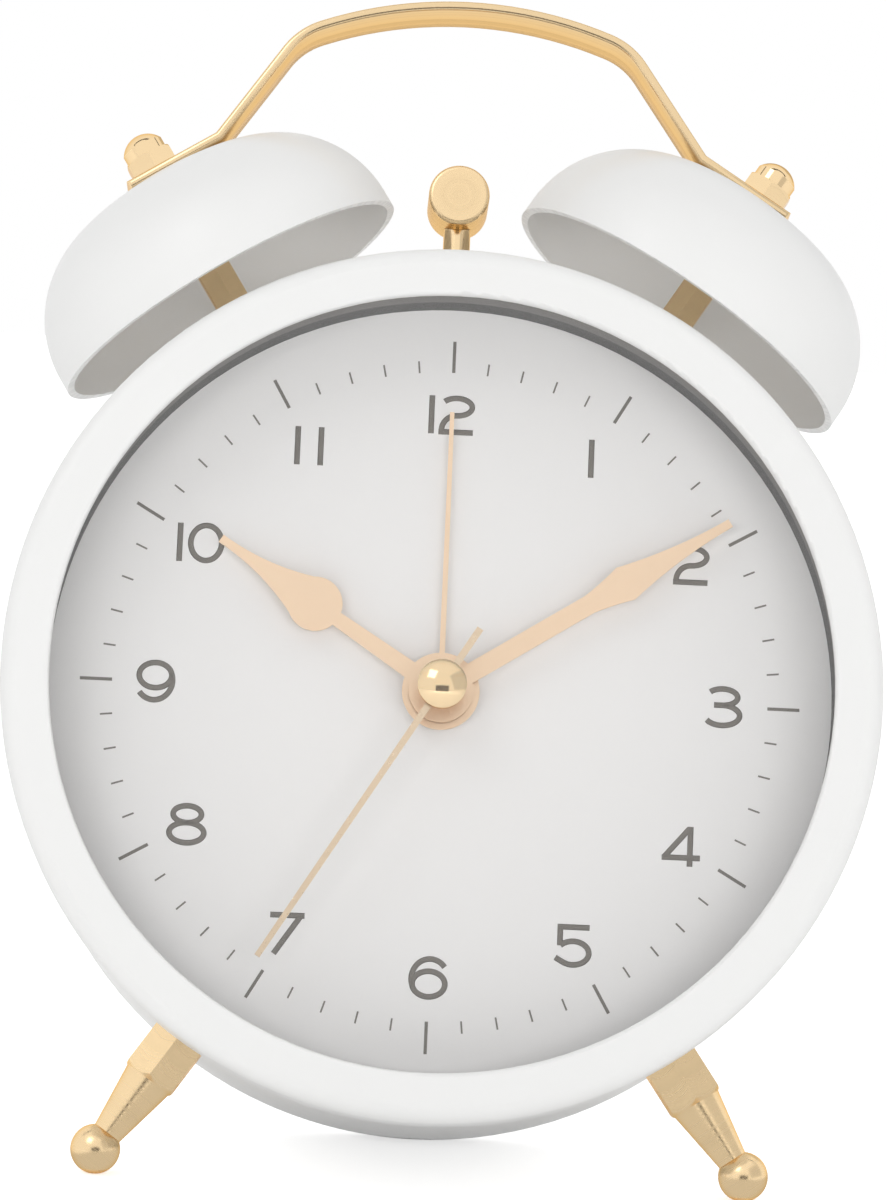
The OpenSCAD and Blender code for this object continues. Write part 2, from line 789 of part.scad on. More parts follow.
// Side view of the strap; its lengths lap a little, so that they are one piece
module strap_outline() {
    lap_angle = strap_lap / handle_shoulder_r * 180 / PI;
    run_start = side_start - strap_lap * side_dir;
    strap_arc(top_centre, handle_top_r, -handle_top_angle, handle_top_angle);
    for (half = [0, 1]) mirror([half, 0]) {
        strap_arc(shoulder_centre, handle_shoulder_r, handle_top_angle - lap_angle, side_turn);
        polygon([run_start + handle_t * side_normal, strap_corner(handle_t),
            tab_end + handle_t * tab_normal, tab_end, strap_corner(0), run_start]);
    }
}

module handle() {
    color(brass) standing() difference() {
        translate([0, bell_y - handle_w / 2, 0]) face_plate(0, handle_w) strap_outline();
        for (side = [-1, 1])
            on_bell_axis(side) rod(stud_r + pass_gap, bell_crown - 1, tab_top + 1);
    }
}

// Hammer and its drive

module hammer_head() {
    face_r = 0.5;
    color(brass) standing() translate([0, bell_y, hammer_z]) difference() {
        rotate([90, 0, 0]) rotate_extrude() difference() {
            translate([0, -hammer_l / 2]) square([hammer_d / 2, hammer_l]);
            for (end = [-1, 1]) corner_cut(hammer_d / 2, end * hammer_l / 2, face_r, 1, end);
        }
        rod(tenon_r + press_gap, -hammer_d, 0);
    }
}

module hammer_arm() {
    neck_foot = window_z + window_r + window_rim / 2;
    color(brass) standing() difference() {
        union() {
            face_plate(arm_y, arm_t) {
                translate([0, pivot_z]) circle(r = eye_r);
                translate([-arm_w / 2, pivot_z]) square([arm_w, window_z - pivot_z]);
                translate([0, window_z]) circle(r = window_r + window_rim);
            }
            bar(bell_y - boss_l / 2, bell_y + boss_l / 2, boss_r, [0, pivot_z]);
            difference() {
                translate([0, bell_y, 0]) rod(neck_d / 2, neck_foot, hammer_z);
                bar(0, case_rear, hammer_d / 2 + press_gap, [0, hammer_z]);
            }
            translate([0, bell_y, 0]) rod(tenon_r, neck_foot, hammer_z - pass_gap);
        }
        bar(bell_y - boss_l, bell_y + boss_l, pivot_r + run_fit, [0, pivot_z]);
        bar(arm_y - 1, arm_y + arm_t + 1, window_r, [0, window_z]);
    }
}

module hammer_pivot_pin() {
    color(steel) standing() bar(ear_front - pin_past, ear_back + ear_t, pivot_r, [0, pivot_z]);
}

module hammer_bracket() {
    ear_top = pivot_z + eye_r;
    color(steel) standing() difference() {
        union() {
            translate([-bracket_w / 2, chassis_back, bracket_floor])
                cube([bracket_w, motor_y - chassis_back, ear_t]);
            translate([-bracket_flange_w / 2, chassis_back, bracket_floor])
                cube([bracket_flange_w, ear_t, bracket_flange_h]);
            translate([-eye_r, ear_front, bracket_floor])
                cube([2 * eye_r, ear_t, ear_top - bracket_floor]);
            translate([-bracket_w / 2, ear_back, bracket_floor])
                cube([bracket_w, ear_t, bracket_top - bracket_floor]);
        }
        bar(ear_front - 1, motor_y + 1, pivot_r + press_gap, [0, pivot_z]);
        bar(ear_back - 1, motor_y + 1, motor_nose_r + pass_gap, [0, motor_z]);
        for (side = [-1, 1])
            bar(chassis_back - 1, chassis_back + ear_t + 1, screw_r + pass_gap,
                [side * bracket_screw_x, bracket_screw_z]);
    }
}

// A screw along the depth, its head at depth y towards the back and its shank towards the front
module screw(y, at, l) {
    difference() {
        union() {
            bar(y, y + screw_head_t, screw_head_r, at);
            bar(y - l, y + joint_lap, screw_r, at);
        }
        translate([at[0], y + screw_head_t, at[1]])
            for (turn = [0, 90]) rotate([0, turn, 0])
                cube([screw_slot_l, 1, screw_slot_w], center = true);
    }
}

module bracket_screws() {
    color(steel) standing() for (side = [-1, 1])
        screw(chassis_back + ear_t, [side * bracket_screw_x, bracket_screw_z], ear_t + chassis_t);
}

module bell_motor() {
    color(steel) standing() difference() {
        union() {
            intersection() {
                bar(motor_y, motor_y + motor_l, motor_d / 2, [0, motor_z]);
                translate([-motor_d, motor_y - 1, motor_z - motor_flat / 2])
                    cube([2 * motor_d, motor_l + 2, motor_flat]);
            }
            bar(motor_y - ear_t, motor_y + 1, motor_nose_r, [0, motor_z]);
            bar(motor_y + motor_l - 1, motor_y + motor_l + motor_tail_l, motor_tail_r, [0, motor_z]);
        }
        bar(motor_y - ear_t - 1, motor_y + motor_l / 2, motor_shaft_r + run_fit, [0, motor_z]);
    }
}

module motor_eccentric() {
    color(moulding) standing() {
        bar(disc_y, motor_y + motor_l / 2 - slide_gap, motor_shaft_r, [0, motor_z]);
        bar(disc_y, disc_y + disc_t, disc_r, [0, motor_z]);
        bar(arm_y - pin_past, disc_y + disc_t, eccentric_pin_r, [0, motor_z + eccentric_throw]);
    }
}

// Hands

// Circle that hollows a straight flank from p to q by the given sag
module hollow_flank(p, q, sag) {
    half = norm(q - p) / 2;
    r = (half * half + sag * sag) / 2 / sag;
    out = [q[1] - p[1], p[0] - q[0]] / norm(q - p);
    translate((p + q) / 2 + (r - sag) * out) circle(r = r, $fn = 256);
}

// A tapering blade with hollow flanks, from half width w0 at y0 to half width w1 at y1
module blade(y0, w0, y1, w1, sag) {
    difference() {
        polygon([[-w0, y0], [w0, y0], [w1, y1], [-w1, y1]]);
        for (side = [0, 1]) mirror([side, 0]) hollow_flank([w0, y0], [w1, y1], sag);
    }
}

// A flat hand at a height above the dial, pointing at a reading, with a hole for its pipe
module hand(height, reading, pipe_r) {
    face_plate(dial_depth - height - hand_t / 2, hand_t) difference() {
        rotate(-reading) children();
        circle(r = pipe_r + press_gap);
    }
}

module hour_hand() {
    spade_at = hour_hand_l - hour_spade_l;
    neck_w = stem_w * stem_ratio;
    color(rose) standing() hand(hour_hand_h, hour_hand_angle, hour_pipe_r) {
        circle(d = hour_hub_d);
        polygon([[-stem_w / 2, 0], [stem_w / 2, 0], [neck_w / 2, spade_at], [-neck_w / 2, spade_at]]);
        translate([0, spade_at]) circle(r = hour_spade_r);
        blade(spade_at + hour_spade_r * spade_lift_ratio, hour_spade_r * spade_in_ratio,
            hour_hand_l, tip_w / 2, hour_spade_r * spade_sag_ratio);
    }
}

module minute_hand() {
    leaf_at = minute_hand_l - minute_leaf_l;
    half_leaf = minute_leaf_w / 2;
    color(rose) standing() hand(minute_hand_h, minute_hand_angle, cannon_r) {
        circle(d = minute_hub_d);
        polygon([[-stem_w / 2, 0], [stem_w / 2, 0], [stem_w / 2, leaf_at], [-stem_w / 2, leaf_at]]);
        mirror([0, 1]) blade(-leaf_at, half_leaf, -leaf_at + minute_foot_l, tip_w,
            half_leaf * foot_sag_ratio);
        blade(leaf_at, half_leaf, minute_hand_l, tip_w / 2, half_leaf * leaf_sag_ratio);
    }
}

module second_hand() {
    collar_r = second_arbor_r + second_collar;
    collar_end = dial_depth - minute_hand_h - hand_t / 2 - 3 * slide_gap;
    tip = second_hand_w * second_tip_ratio;
    color(brass) standing() {
        hand(second_hand_h, second_hand_angle, second_arbor_r) {
            circle(d = second_hub_d);
            polygon([[-second_hand_w / 2, -second_tail_l], [second_hand_w / 2, -second_tail_l],
                [tip / 2, second_hand_l], [-tip / 2, second_hand_l]]);
        }
        difference() {
            bar(dial_depth - second_hand_h, collar_end, collar_r);
            bar(0, dial_depth, second_arbor_r + press_gap);
        }
    }
}

module centre_cap() {
    base = dial_depth - second_hand_h - hand_t / 2;
    dome = cap_rise - hand_t / 2 - cap_skirt;
    dome_r = (pow(cap_d / 2, 2) + dome * dome) / 2 / dome;
    color(brass) standing() difference() {
        union() {
            bar(base - cap_skirt, base, cap_d / 2);
            intersection() {
                bar(base - cap_skirt - dome, base - cap_skirt + joint_lap, cap_d / 2);
                translate([0, base - cap_skirt - dome + dome_r, 0]) sphere(r = dome_r, $fn = 192);
            }
        }
        bar(base - cap_skirt, base + 1, second_arbor_r + press_gap);
    }
}

module alarm_hand() {
    alarm_tip = alarm_hand_w * alarm_tip_ratio;
    color(rose) standing() hand(alarm_hand_h, alarm_hand_angle, alarm_pipe_r) {
        circle(d = alarm_hub_d);
        polygon([[-alarm_hand_w / 2, 0], [alarm_hand_w / 2, 0],
            [alarm_tip / 2, alarm_hand_l], [-alarm_tip / 2, alarm_hand_l]]);
    }
}

// Wheels

// Front end of the pipe that carries the hand at a height
function pipe_end(height) = dial_depth - height - hand_t / 2 - pipe_past;

module hour_wheel() {
    color(moulding) standing() difference() {
        union() {
            face_plate(hour_layer, wheel_t)
                gear(hour_wheel_teeth, motion_module, time_angle + 180 / hour_wheel_teeth);
            bar(pipe_end(hour_hand_h), hour_layer + joint_lap, hour_pipe_r);
        }
        bar(0, case_rear, hour_bore);
    }
}

module centre_wheel() {
    color(brass) standing() difference() {
        union() {
            face_plate(centre_layer, wheel_t)
                gear(centre_wheel_teeth, centre_module, third_angle + 180 / centre_wheel_teeth);
            face_plate(minute_layer, layer + joint_lap) gear(cannon_teeth, motion_module, time_angle);
            bar(pipe_end(minute_hand_h), minute_layer + joint_lap, cannon_r);
        }
        bar(0, case_rear, cannon_bore);
    }
}

module second_wheel() {
    color(moulding) standing() {
        bar(dial_depth - second_hand_h - arbor_tip, cover_back - arbor_short, second_arbor_r);
        face_plate(third_layer, layer + joint_lap) gear(second_pinion_teeth, seconds_module, third_angle);
        face_plate(drive_layer, wheel_t) gear(drive_teeth, 2 * drive_r / drive_teeth, 0);
    }
}

module third_wheel() {
    color(moulding) standing() {
        bar(plate_pivot + pass_gap, cover_back - arbor_short, second_arbor_r, third_place);
        face_plate(third_layer, wheel_t) translate(third_place)
            gear(third_wheel_teeth, seconds_module, third_angle + 180 + 180 / third_wheel_teeth);
        face_plate(centre_layer, layer + joint_lap) translate(third_place)
            gear(third_pinion_teeth, centre_module, third_angle + 180);
    }
}

module minute_wheel() {
    color(moulding) standing() {
        bar(plate_pivot + pass_gap, arbor_end, setting_arbor_r, time_place);
        face_plate(minute_layer, wheel_t) translate(time_place)
            gear(minute_wheel_teeth, motion_module, time_angle + 180 + 180 / minute_wheel_teeth);
        face_plate(hour_layer, layer + joint_lap) translate(time_place)
            gear(minute_pinion_teeth, motion_module, time_angle + 180);
    }
}

module alarm_wheel() {
    color(moulding) standing() difference() {
        union() {
            face_plate(alarm_layer, wheel_t)
                gear(alarm_wheel_teeth, alarm_module, alarm_angle + 180 / alarm_wheel_teeth);
            bar(pipe_end(alarm_hand_h), alarm_layer + joint_lap, alarm_pipe_r);
        }
        bar(0, case_rear, alarm_bore);
    }
}

module alarm_pinion() {
    color(moulding) standing() {
        bar(plate_pivot + pass_gap, arbor_end, setting_arbor_r, alarm_place);
        face_plate(alarm_layer, wheel_t) translate(alarm_place)
            gear(alarm_pinion_teeth, alarm_module, alarm_angle + 180);
    }
}

// A fluted knob on its arbor
module knob(at) {
    flutes = 16;
    y0 = back_face + slide_gap;
    difference() {
        translate([at[0], y0, at[1]]) rotate([-90, 0, 0]) rotate_extrude() difference() {
            square([knob_r, knob_h]);
            corner_cut(knob_r, knob_h, knob_round, 1, 1);
        }
        for (i = [0 : flutes - 1])
            bar(y0 - 1, y0 + knob_h + 1, flute_r, at + polar(knob_r + flute_r / 2, i * 360 / flutes));
        bar(y0 - 1, y0 + knob_h - knob_cap, setting_arbor_r + press_gap, at);
    }
}

module time_knob() { color(moulding) standing() knob(time_place); }
module alarm_knob() { color(moulding) standing() knob(alarm_place); }

// Movement housing

module movement_outline(grow) {
    translate([-movement_half_w - grow, -movement_bottom - grow])
        square([2 * (movement_half_w + grow), movement_top + movement_bottom + 2 * grow]);
}

module movement_plate() {
    color([0.85, 0.85, 0.8]) standing() difference() {
        face_plate(chassis_y, plate_t) movement_outline(0);
        bar(0, case_rear, alarm_pipe_r + run_fit);
        bar(plate_pivot, chassis_back + 1, second_arbor_r + run_fit, third_place);
        for (at = [time_place, alarm_place])
            bar(plate_pivot, chassis_back + 1, setting_arbor_r + run_fit, at);
    }
}

module movement_cover() {
    color([0.2, 0.2, 0.21]) standing() difference() {
        union() {
            face_plate(chassis_back, cover_back - chassis_back) movement_outline(0);
            for (at = lug_places) {
                bar(chassis_back, chassis_back + lug_t, lug_r, at);
                translate([at[0] > 0 ? movement_half_w - joint_lap : at[0], chassis_back, at[1] - lug_r])
                    cube([lug_x - movement_half_w + joint_lap, lug_t, 2 * lug_r]);
            }
        }
        face_plate(chassis_back - 1, cover_floor - chassis_back + 1) movement_outline(-cover_wall);
        for (at = lug_places) bar(chassis_back - 1, chassis_back + lug_t + 1, screw_r + pass_gap, at);
        for (at = [[0, 0], third_place]) bar(cover_floor - 1, cover_back + 1, cannon_bore, at);
        for (at = [time_place, alarm_place])
            bar(cover_floor - 1, cover_back + 1, setting_arbor_r + run_fit, at);
    }
}

module movement_screws() {
    color(steel) standing() for (at = lug_places)
        screw(chassis_back + lug_t, at, lug_t + chassis_t);
}

module step_motor() {
    color([0.88, 0.87, 0.8]) standing() difference() {
        translate([motor_block_x, motor_block_y, motor_block_z])
            cube([motor_block_w, cover_floor - motor_block_y, motor_block_h]);
        translate([motor_block_x - 1, cover_floor - stator_t - press_gap,
                coil_z - stator_h / 2 - press_gap])
            cube([stator_in + 1 + press_gap, stator_t + 1, stator_h + 2 * press_gap]);
    }
}

module stator() {
    color(steel) standing()
        translate([-motor_block_x - coil_l, cover_floor - stator_t, coil_z - stator_h / 2])
        cube([2 * motor_block_x + coil_l + stator_in, stator_t, stator_h]);
}

module drive_coil() {
    cheek_t = 1;
    color([0.72, 0.4, 0.2]) standing()
        translate([-motor_block_x - coil_l, cover_floor - stator_t - coil_r - coil_cheek, coil_z])
        rotate([0, 90, 0]) {
            rod(coil_r, 0, coil_l);
            for (z = [0, coil_l - cheek_t]) rod(coil_r + coil_cheek, z, z + cheek_t);
        }
}

module circuit_board() {
    board_t = 1;
    chip_r = 3;
    chip_t = 1.4;
    crystal = [6, 2.7, 3];
    crystal_x = -18;
    edge = 1.5;
    board_z = time_place[1] + setting_arbor_r + edge;
    board_half_w = movement_half_w - cover_wall - edge;
    board_y = cover_floor - board_t;
    color([0.15, 0.4, 0.25]) standing() {
        translate([-board_half_w, board_y, board_z])
            cube([2 * board_half_w, board_t, movement_top - cover_wall - slide_gap - board_z]);
        bar(board_y - chip_t, board_y + joint_lap, chip_r, [0, board_z + chip_r + edge]);
        translate([crystal_x, board_y - crystal[1] + joint_lap, board_z + edge]) cube(crystal);
    }
}

// Battery and back

module battery_cell() {
    nub_l = 1;
    nub_r = 2.7;
    color([0.35, 0.36, 0.38]) standing() translate([-cell_l / 2, cell_y, -cell_z]) rotate([0, 90, 0]) {
        rod(cell_d / 2, 0, cell_l - nub_l);
        rod(nub_r, cell_l - nub_l - joint_lap, cell_l);
    }
}

module battery_contacts() {
    plate_w = 9;
    plate_l = 0.4;
    spring_r = 4;
    spring_tip_r = 1.5;
    reach = tray_half_l - cell_l / 2 - press_gap;
    color(steel) standing() for (side = [-1, 1]) {
        plate_x = side > 0 ? tray_half_l - plate_l : -tray_half_l;
        translate([plate_x, cell_y - plate_w / 2, -cell_z - plate_w / 2])
            cube([plate_l, plate_w, plate_w]);
        translate([side * tray_half_l, cell_y, -cell_z]) rotate([0, -side * 90, 0])
            cylinder(h = reach, r1 = spring_r, r2 = spring_tip_r);
    }
}

// Outline of the switch or its slot, along X
module switch_slot(half_w, half_h) {
    translate([-half_w, switch_z - half_h]) square([2 * half_w, 2 * half_h]);
}

module back_cover() {
    tray_top = -cell_z + tray_half_h;
    tray_bottom = -cell_z - tray_half_h;
    color(moulding) standing() difference() {
        union() {
            bar(case_rear, back_face, flange_r);
            difference() {
                bar(case_rear - spigot_l, case_rear + joint_lap, spigot_r);
                bar(case_rear - spigot_l - 1, case_rear, spigot_r - spigot_wall);
            }
            intersection() {
                translate([-tray_outer_w, tray_back, tray_outer_bottom])
                    cube([2 * tray_outer_w, case_rear - tray_back + joint_lap,
                        tray_outer_top - tray_outer_bottom]);
                bar(tray_back, case_rear + joint_lap, spigot_r - slide_gap);
            }
        }
        translate([-tray_half_l, tray_back + tray_wall, tray_bottom])
            cube([2 * tray_half_l, case_rear, tray_top - tray_bottom]);
        translate([-door_half_w - slide_gap, door_y - slide_gap, door_bottom])
            cube([2 * (door_half_w + slide_gap), back_t + 1, door_top - door_bottom]);
        translate([0, hinge_y, hinge_z]) rotate([0, 90, 0])
            rod(hinge_pin_r + run_fit, -door_half_w - slide_gap - hinge_pin_l,
                door_half_w + slide_gap + hinge_pin_l);
        for (at = [time_place, alarm_place])
            bar(case_rear - 1, back_face + 1, setting_arbor_r + slide_gap, at);
        face_plate(case_rear - 1, back_t + 2)
            switch_slot(switch_w / 2 + switch_travel / 2 + slide_gap, switch_h / 2 + slide_gap);
        for (a = screw_angles) {
            bar(case_rear - 1, back_face + 1, screw_r + pass_gap, polar(screw_dist, a));
            bar(back_face - screw_head_t, back_face + 1, screw_head_r + pass_gap, polar(screw_dist, a));
        }
    }
}

module battery_door() {
    grip_w = 14;
    grip_pitch = 1.6;
    grip_depth = 0.4;
    grip_from_edge = 3.2;
    color(moulding) standing() difference() {
        union() {
            translate([-door_half_w, door_y, hinge_z])
                cube([2 * door_half_w, door_t, door_top - slide_gap - hinge_z]);
            translate([0, hinge_y, hinge_z]) rotate([0, 90, 0]) {
                rod(door_t / 2, -door_half_w, door_half_w);
                rod(hinge_pin_r, -door_half_w - slide_gap - hinge_pin_l + pass_gap,
                    door_half_w + slide_gap + hinge_pin_l - pass_gap);
            }
        }
        for (i = [0 : 3])
            translate([-grip_w / 2, back_face - grip_depth, door_top - grip_from_edge - grip_pitch * i])
                cube([grip_w, 1, grip_pitch / 2]);
    }
}

module alarm_switch() {
    base_t = 1.2;
    thumb_h = 1.5;
    base_y = case_rear - slide_gap - base_t;
    color([0.25, 0.25, 0.26]) standing() translate([-switch_travel / 2, 0, 0]) {
        face_plate(base_y, base_t) switch_slot(switch_base_w / 2, switch_h / 2 + switch_lip);
        face_plate(base_y, base_t + slide_gap + back_t + thumb_h) switch_slot(switch_w / 2, switch_h / 2);
    }
}

module back_cover_screws() {
    color(steel) standing() for (a = screw_angles)
        screw(back_face - screw_head_t, polar(screw_dist, a), back_t - screw_head_t + screw_grip);
}

case_shell();
bezel();
lens();
dial_ring();
dial();
chassis();
left_leg();
right_leg();
leg_nuts();
left_bell();
right_bell();
left_bell_post();
right_bell_post();
bell_post_nuts();
left_cap_nut();
right_cap_nut();
handle();
hammer_head();
hammer_arm();
hammer_pivot_pin();
hammer_bracket();
bracket_screws();
bell_motor();
motor_eccentric();
hour_hand();
minute_hand();
second_hand();
centre_cap();
alarm_hand();
hour_wheel();
centre_wheel();
second_wheel();
third_wheel();
minute_wheel();
alarm_wheel();
alarm_pinion();
time_knob();
alarm_knob();
movement_plate();
movement_cover();
movement_screws();
step_motor();
drive_coil();
stator();
circuit_board();
battery_cell();
battery_contacts();
back_cover();
battery_door();
alarm_switch();
back_cover_screws();
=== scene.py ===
from math import atan2, cos, radians, sin

import bmesh
import bpy
from bpy.props import FloatProperty, FloatVectorProperty, PointerProperty
from mathutils import Matrix, Vector


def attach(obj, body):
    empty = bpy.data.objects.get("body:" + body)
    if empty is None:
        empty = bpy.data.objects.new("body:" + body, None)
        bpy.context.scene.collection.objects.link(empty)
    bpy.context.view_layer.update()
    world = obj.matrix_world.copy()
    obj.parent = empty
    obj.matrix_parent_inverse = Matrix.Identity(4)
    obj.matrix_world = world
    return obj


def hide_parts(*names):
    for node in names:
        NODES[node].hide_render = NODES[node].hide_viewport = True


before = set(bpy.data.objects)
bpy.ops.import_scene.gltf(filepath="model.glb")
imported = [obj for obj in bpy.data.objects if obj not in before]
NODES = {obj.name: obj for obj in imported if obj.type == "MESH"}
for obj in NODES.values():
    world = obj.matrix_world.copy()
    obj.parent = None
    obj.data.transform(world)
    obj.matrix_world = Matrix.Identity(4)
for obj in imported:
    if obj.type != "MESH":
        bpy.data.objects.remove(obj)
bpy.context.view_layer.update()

bl_info = {
    "name": "Twin bell alarm clock",
    "version": (1, 0, 0),
    "blender": (4, 5, 0),
    "location": "3D View > Sidebar > Clock",
    "description": "Dresses the clock's frame with its finishes, dial print and studio",
    "category": "Add Mesh",
}

MM = 0.001
SIDES = ((-1, "left"), (1, "right"))

# Stance of the clock: lean in degrees, then the place of the dial axis at the bezel's front, in mm
LEAN = 13.8321
STAND = (0.0, -25.2597, 58.5405)

# Places in the clock frame in mm, and angles from the upright in degrees
DIAL_DEPTH = 12.3
BACK_FACE = 54.0
BELL_DEPTH = 25.0
BELL_ANGLE = 32.4
BELL_CROSSING = 6.3
HAMMER_HEIGHT = 61.1
LEG_ANGLE = 34.7
LEG_DEPTH = 16.4
COIL_PLACE = (0, 30, -18)

# Numerals as drawn: height of the flat-topped ones and the middles of the digits in a pair, in mm
NUMERAL_HEIGHT = 4.66
DIGIT_PLACES = {"10": (-2.4, 0.63), "11": (-1.35, 1.35), "12": (-2.35, 0.51)}

# Turning arrows over the knobs: middle, radius, barb and stroke in mm, angles in degrees
ARROW_MIDDLE = (11.258, 6.5)
ARROW_RADIUS = 7.6
ARROW_ENDS = (35, 145)
ARROW_BARB = 2.2
ARROW_BARB_TURN = 150
ARROW_STROKE = 0.8
ARROW_RISE = 0.32

# Rounded copies of nodes: points nearer than this are one, in metres, then angles in degrees under which
# faces are one, over which an edge is rounded and over which an edge shades as sharp
WELD = 0.00002
FLAT_ANGLE = 0.4
SHARP_ANGLE = 40
CREASE_ANGLE = 32

# Noise masks: the part of their spread that is used, and where and how far broad marks dull a metal
MASK_RANGE = (0.3, 0.7)
DULL_RANGE = (0.42, 0.78)
DULL_SHARE = 0.55

# Finishes without a setting of their own, the first a painted lift that lightens the outer brass as if more
# light fell on it, and depths behind the bezel's front where the ring turns darker
BRASS_LIGHT_LIFT = 1.07
SECOND_HAND = (0.86, 0.68, 0.48, 1)
STEEL = (0.55, 0.55, 0.56, 1)
ACETAL = (0.82, 0.81, 0.75, 1)
DARK_MOULDING = (0.035, 0.035, 0.038, 1)
WINDING = (0.6, 0.24, 0.09, 1)
BOARD_RESIST = (0.02, 0.13, 0.06, 1)
CELL_SLEEVE = (0.09, 0.09, 0.1, 1)
RING_STEP = (0.0076, 0.0084)
RING_SHADE = 0.17

# Floor: width in metres and the two tones of its patches
FLOOR_WIDTH = 6.0
FLOOR_TONES = ((0.92, 0.92, 0.92, 1), (0.94, 0.94, 0.94, 1))

# Surround: the way to its bright side, and the cosines between which it goes from dim to bright
SURROUND_AXIS = (0.1, 0.9, 0.35)
SURROUND_RANGE = (-0.7, 0.5)

# Lamps: place and size in metres, the setting of their power, and whether metal and lens mirror them
LAMPS = (
    ("key", (-0.45, -0.6, 0.75), (0.4, 0.4), "key_power", True),
    ("low", (0.02, -0.75, 0.165), (0.8, 0.1), "low_power", False),
)
LAMP_AIM = (0, 20, 20)

# Cards: place and size in metres, the setting of their level and the share of it that they take; the card
# under the clock lies on the floor as a painted shadow that only mirrors show
CARDS = (
    ("right_flag", (0.5, -0.25, 0.3), (0.7, 0.5), "flag_level", 1.0),
    # Painted shadow of the clock on the floor, seen only in mirrors
    ("floor_flag", (0.01, -0.03, 0.0006), (0.11, 0.1), "flag_level", 1.0),
    ("rear_flag", (0.25, 0.55, 0.35), (0.5, 0.3), "flag_level", 1.0),
    ("low_flag", (0, -0.52, 0.0006), (0.8, 0.6), "flag_level", 0.5),
    ("front_flag", (0.02, -0.9, 0.13), (0.6, 0.26), "dark_flag", 1.0),
    ("top_flag", (0, 0.15, 0.72), (1.6, 0.08), "dark_flag", 1.0),
)
CARD_AIM = (0, 20, 0)
LYING_HEIGHT = 0.01

# Camera, fitted in the dial frame: turns in degrees, then the step from the dial's centre in pixels
CAMERA_TURNS = (("Z", -2.413), ("X", -9.396), ("Y", 1.331))
CAMERA_STEP = (3.45, 94.65, 5350.3)
PIXELS_PER_MM = 8.696

# Clock frame: x right, y to the back, z to twelve; dial frame: x right, y up, z to the viewer
CLOCK = Matrix.Translation(Vector(STAND) * MM) @ Matrix.Rotation(radians(-LEAN), 4, "X")
DIAL = CLOCK @ Matrix.Translation((0, DIAL_DEPTH * MM, 0)) @ Matrix.Rotation(radians(90), 4, "X")
BACK = CLOCK @ Matrix.Translation((0, BACK_FACE * MM, 0)) @ Matrix.Rotation(radians(90), 4, "X")
DEPTH_AXIS = CLOCK.to_3x3() @ Vector((0, 1, 0))


def clock_point(x, y, z):
    """Row-frame place of a point given in mm in the clock frame."""
    return CLOCK @ (Vector((x, y, z)) * MM)


def clock_direction(x, y, z):
    """Row-frame direction of a clock-frame direction."""
    return (CLOCK.to_3x3() @ Vector((x, y, z))).normalized()


def side_axis(side, angle, up):
    """Direction of a leg or bell that leans outwards on one side; up is 1 or -1."""
    return clock_direction(side * sin(radians(angle)), 0, up * cos(radians(angle)))


CENTRE = clock_point(0, 0, 0)
BELL_ORIGIN = clock_point(0, BELL_DEPTH, BELL_CROSSING)
HAMMER_CENTRE = clock_point(0, BELL_DEPTH, HAMMER_HEIGHT)


# Settings


class ClockColours(bpy.types.PropertyGroup):
    paint: FloatVectorProperty(
        name="Paint", description="Sprayed paint of case, bezel and bells",
        subtype="COLOR", size=4, min=0, max=1, default=(0.90, 0.90, 0.89, 1))
    # Lighter paint inside the bells is painted light: it lifts the shade that falls inside them
    bell_inside: FloatVectorProperty(
        name="Bell inside", description="Paint lightened inside the bells as painted light",
        subtype="COLOR", size=4, min=0, max=1, default=(0.97, 0.965, 0.955, 1))
    brass: FloatVectorProperty(
        name="Brass", description="Turned brass of legs, handle, nuts and hammer",
        subtype="COLOR", size=4, min=0, max=1, default=(0.93, 0.705, 0.42, 1))
    rose: FloatVectorProperty(
        name="Hands", description="Satin finish of the hour, minute and alarm hands",
        subtype="COLOR", size=4, min=0, max=1, default=(0.99, 0.745, 0.52, 1))
    dial: FloatVectorProperty(
        name="Dial", description="Satin face of the dial",
        subtype="COLOR", size=4, min=0, max=1, default=(0.87, 0.86, 0.85, 1))
    ring: FloatVectorProperty(
        name="Recess ring", description="Ring between lens and dial",
        subtype="COLOR", size=4, min=0, max=1, default=(0.18, 0.17, 0.16, 1))
    printing: FloatVectorProperty(
        name="Dial print", description="Ink of the numerals and ticks",
        subtype="COLOR", size=4, min=0, max=1, default=(0.17, 0.155, 0.135, 1))
    moulding: FloatVectorProperty(
        name="Moulding", description="White plastic of the back",
        subtype="COLOR", size=4, min=0, max=1, default=(0.80, 0.80, 0.79, 1))


class ClockSizes(bpy.types.PropertyGroup):
    numeral_radius: FloatProperty(
        name="Numeral radius", description="Distance of the numerals from the dial's centre",
        unit="LENGTH", default=0.0327)
    numeral_height: FloatProperty(
        name="Numeral height", description="Height of the flat-topped numerals",
        unit="LENGTH", default=0.00466)
    numeral_stroke: FloatProperty(
        name="Numeral stroke", description="Width of the numerals' strokes",
        unit="LENGTH", default=0.00066)
    tick_start: FloatProperty(
        name="Tick start", description="Distance of the ticks' inner ends from the centre",
        unit="LENGTH", default=0.0377)
    hour_tick_end: FloatProperty(
        name="Hour tick end", description="Distance of the hour ticks' outer ends",
        unit="LENGTH", default=0.0414)
    minute_tick_end: FloatProperty(
        name="Minute tick end", description="Distance of the minute ticks' outer ends",
        unit="LENGTH", default=0.0391)
    hour_tick_width: FloatProperty(
        name="Hour tick width", description="Width of an hour tick",
        unit="LENGTH", default=0.00037)
    minute_tick_width: FloatProperty(
        name="Minute tick width", description="Width of a minute tick",
        unit="LENGTH", default=0.0002)
    strap_rounding: FloatProperty(
        name="Strap rounding", description="Rounding of the handle's long edges",
        unit="LENGTH", default=0.0004)
    moulding_rounding: FloatProperty(
        name="Moulding rounding", description="Rounding of the edges of the moulded back",
        unit="LENGTH", default=0.00025)
    print_rise: FloatProperty(
        name="Print rise", description="Thickness of the ink on the dial",
        unit="LENGTH", default=0.00003)


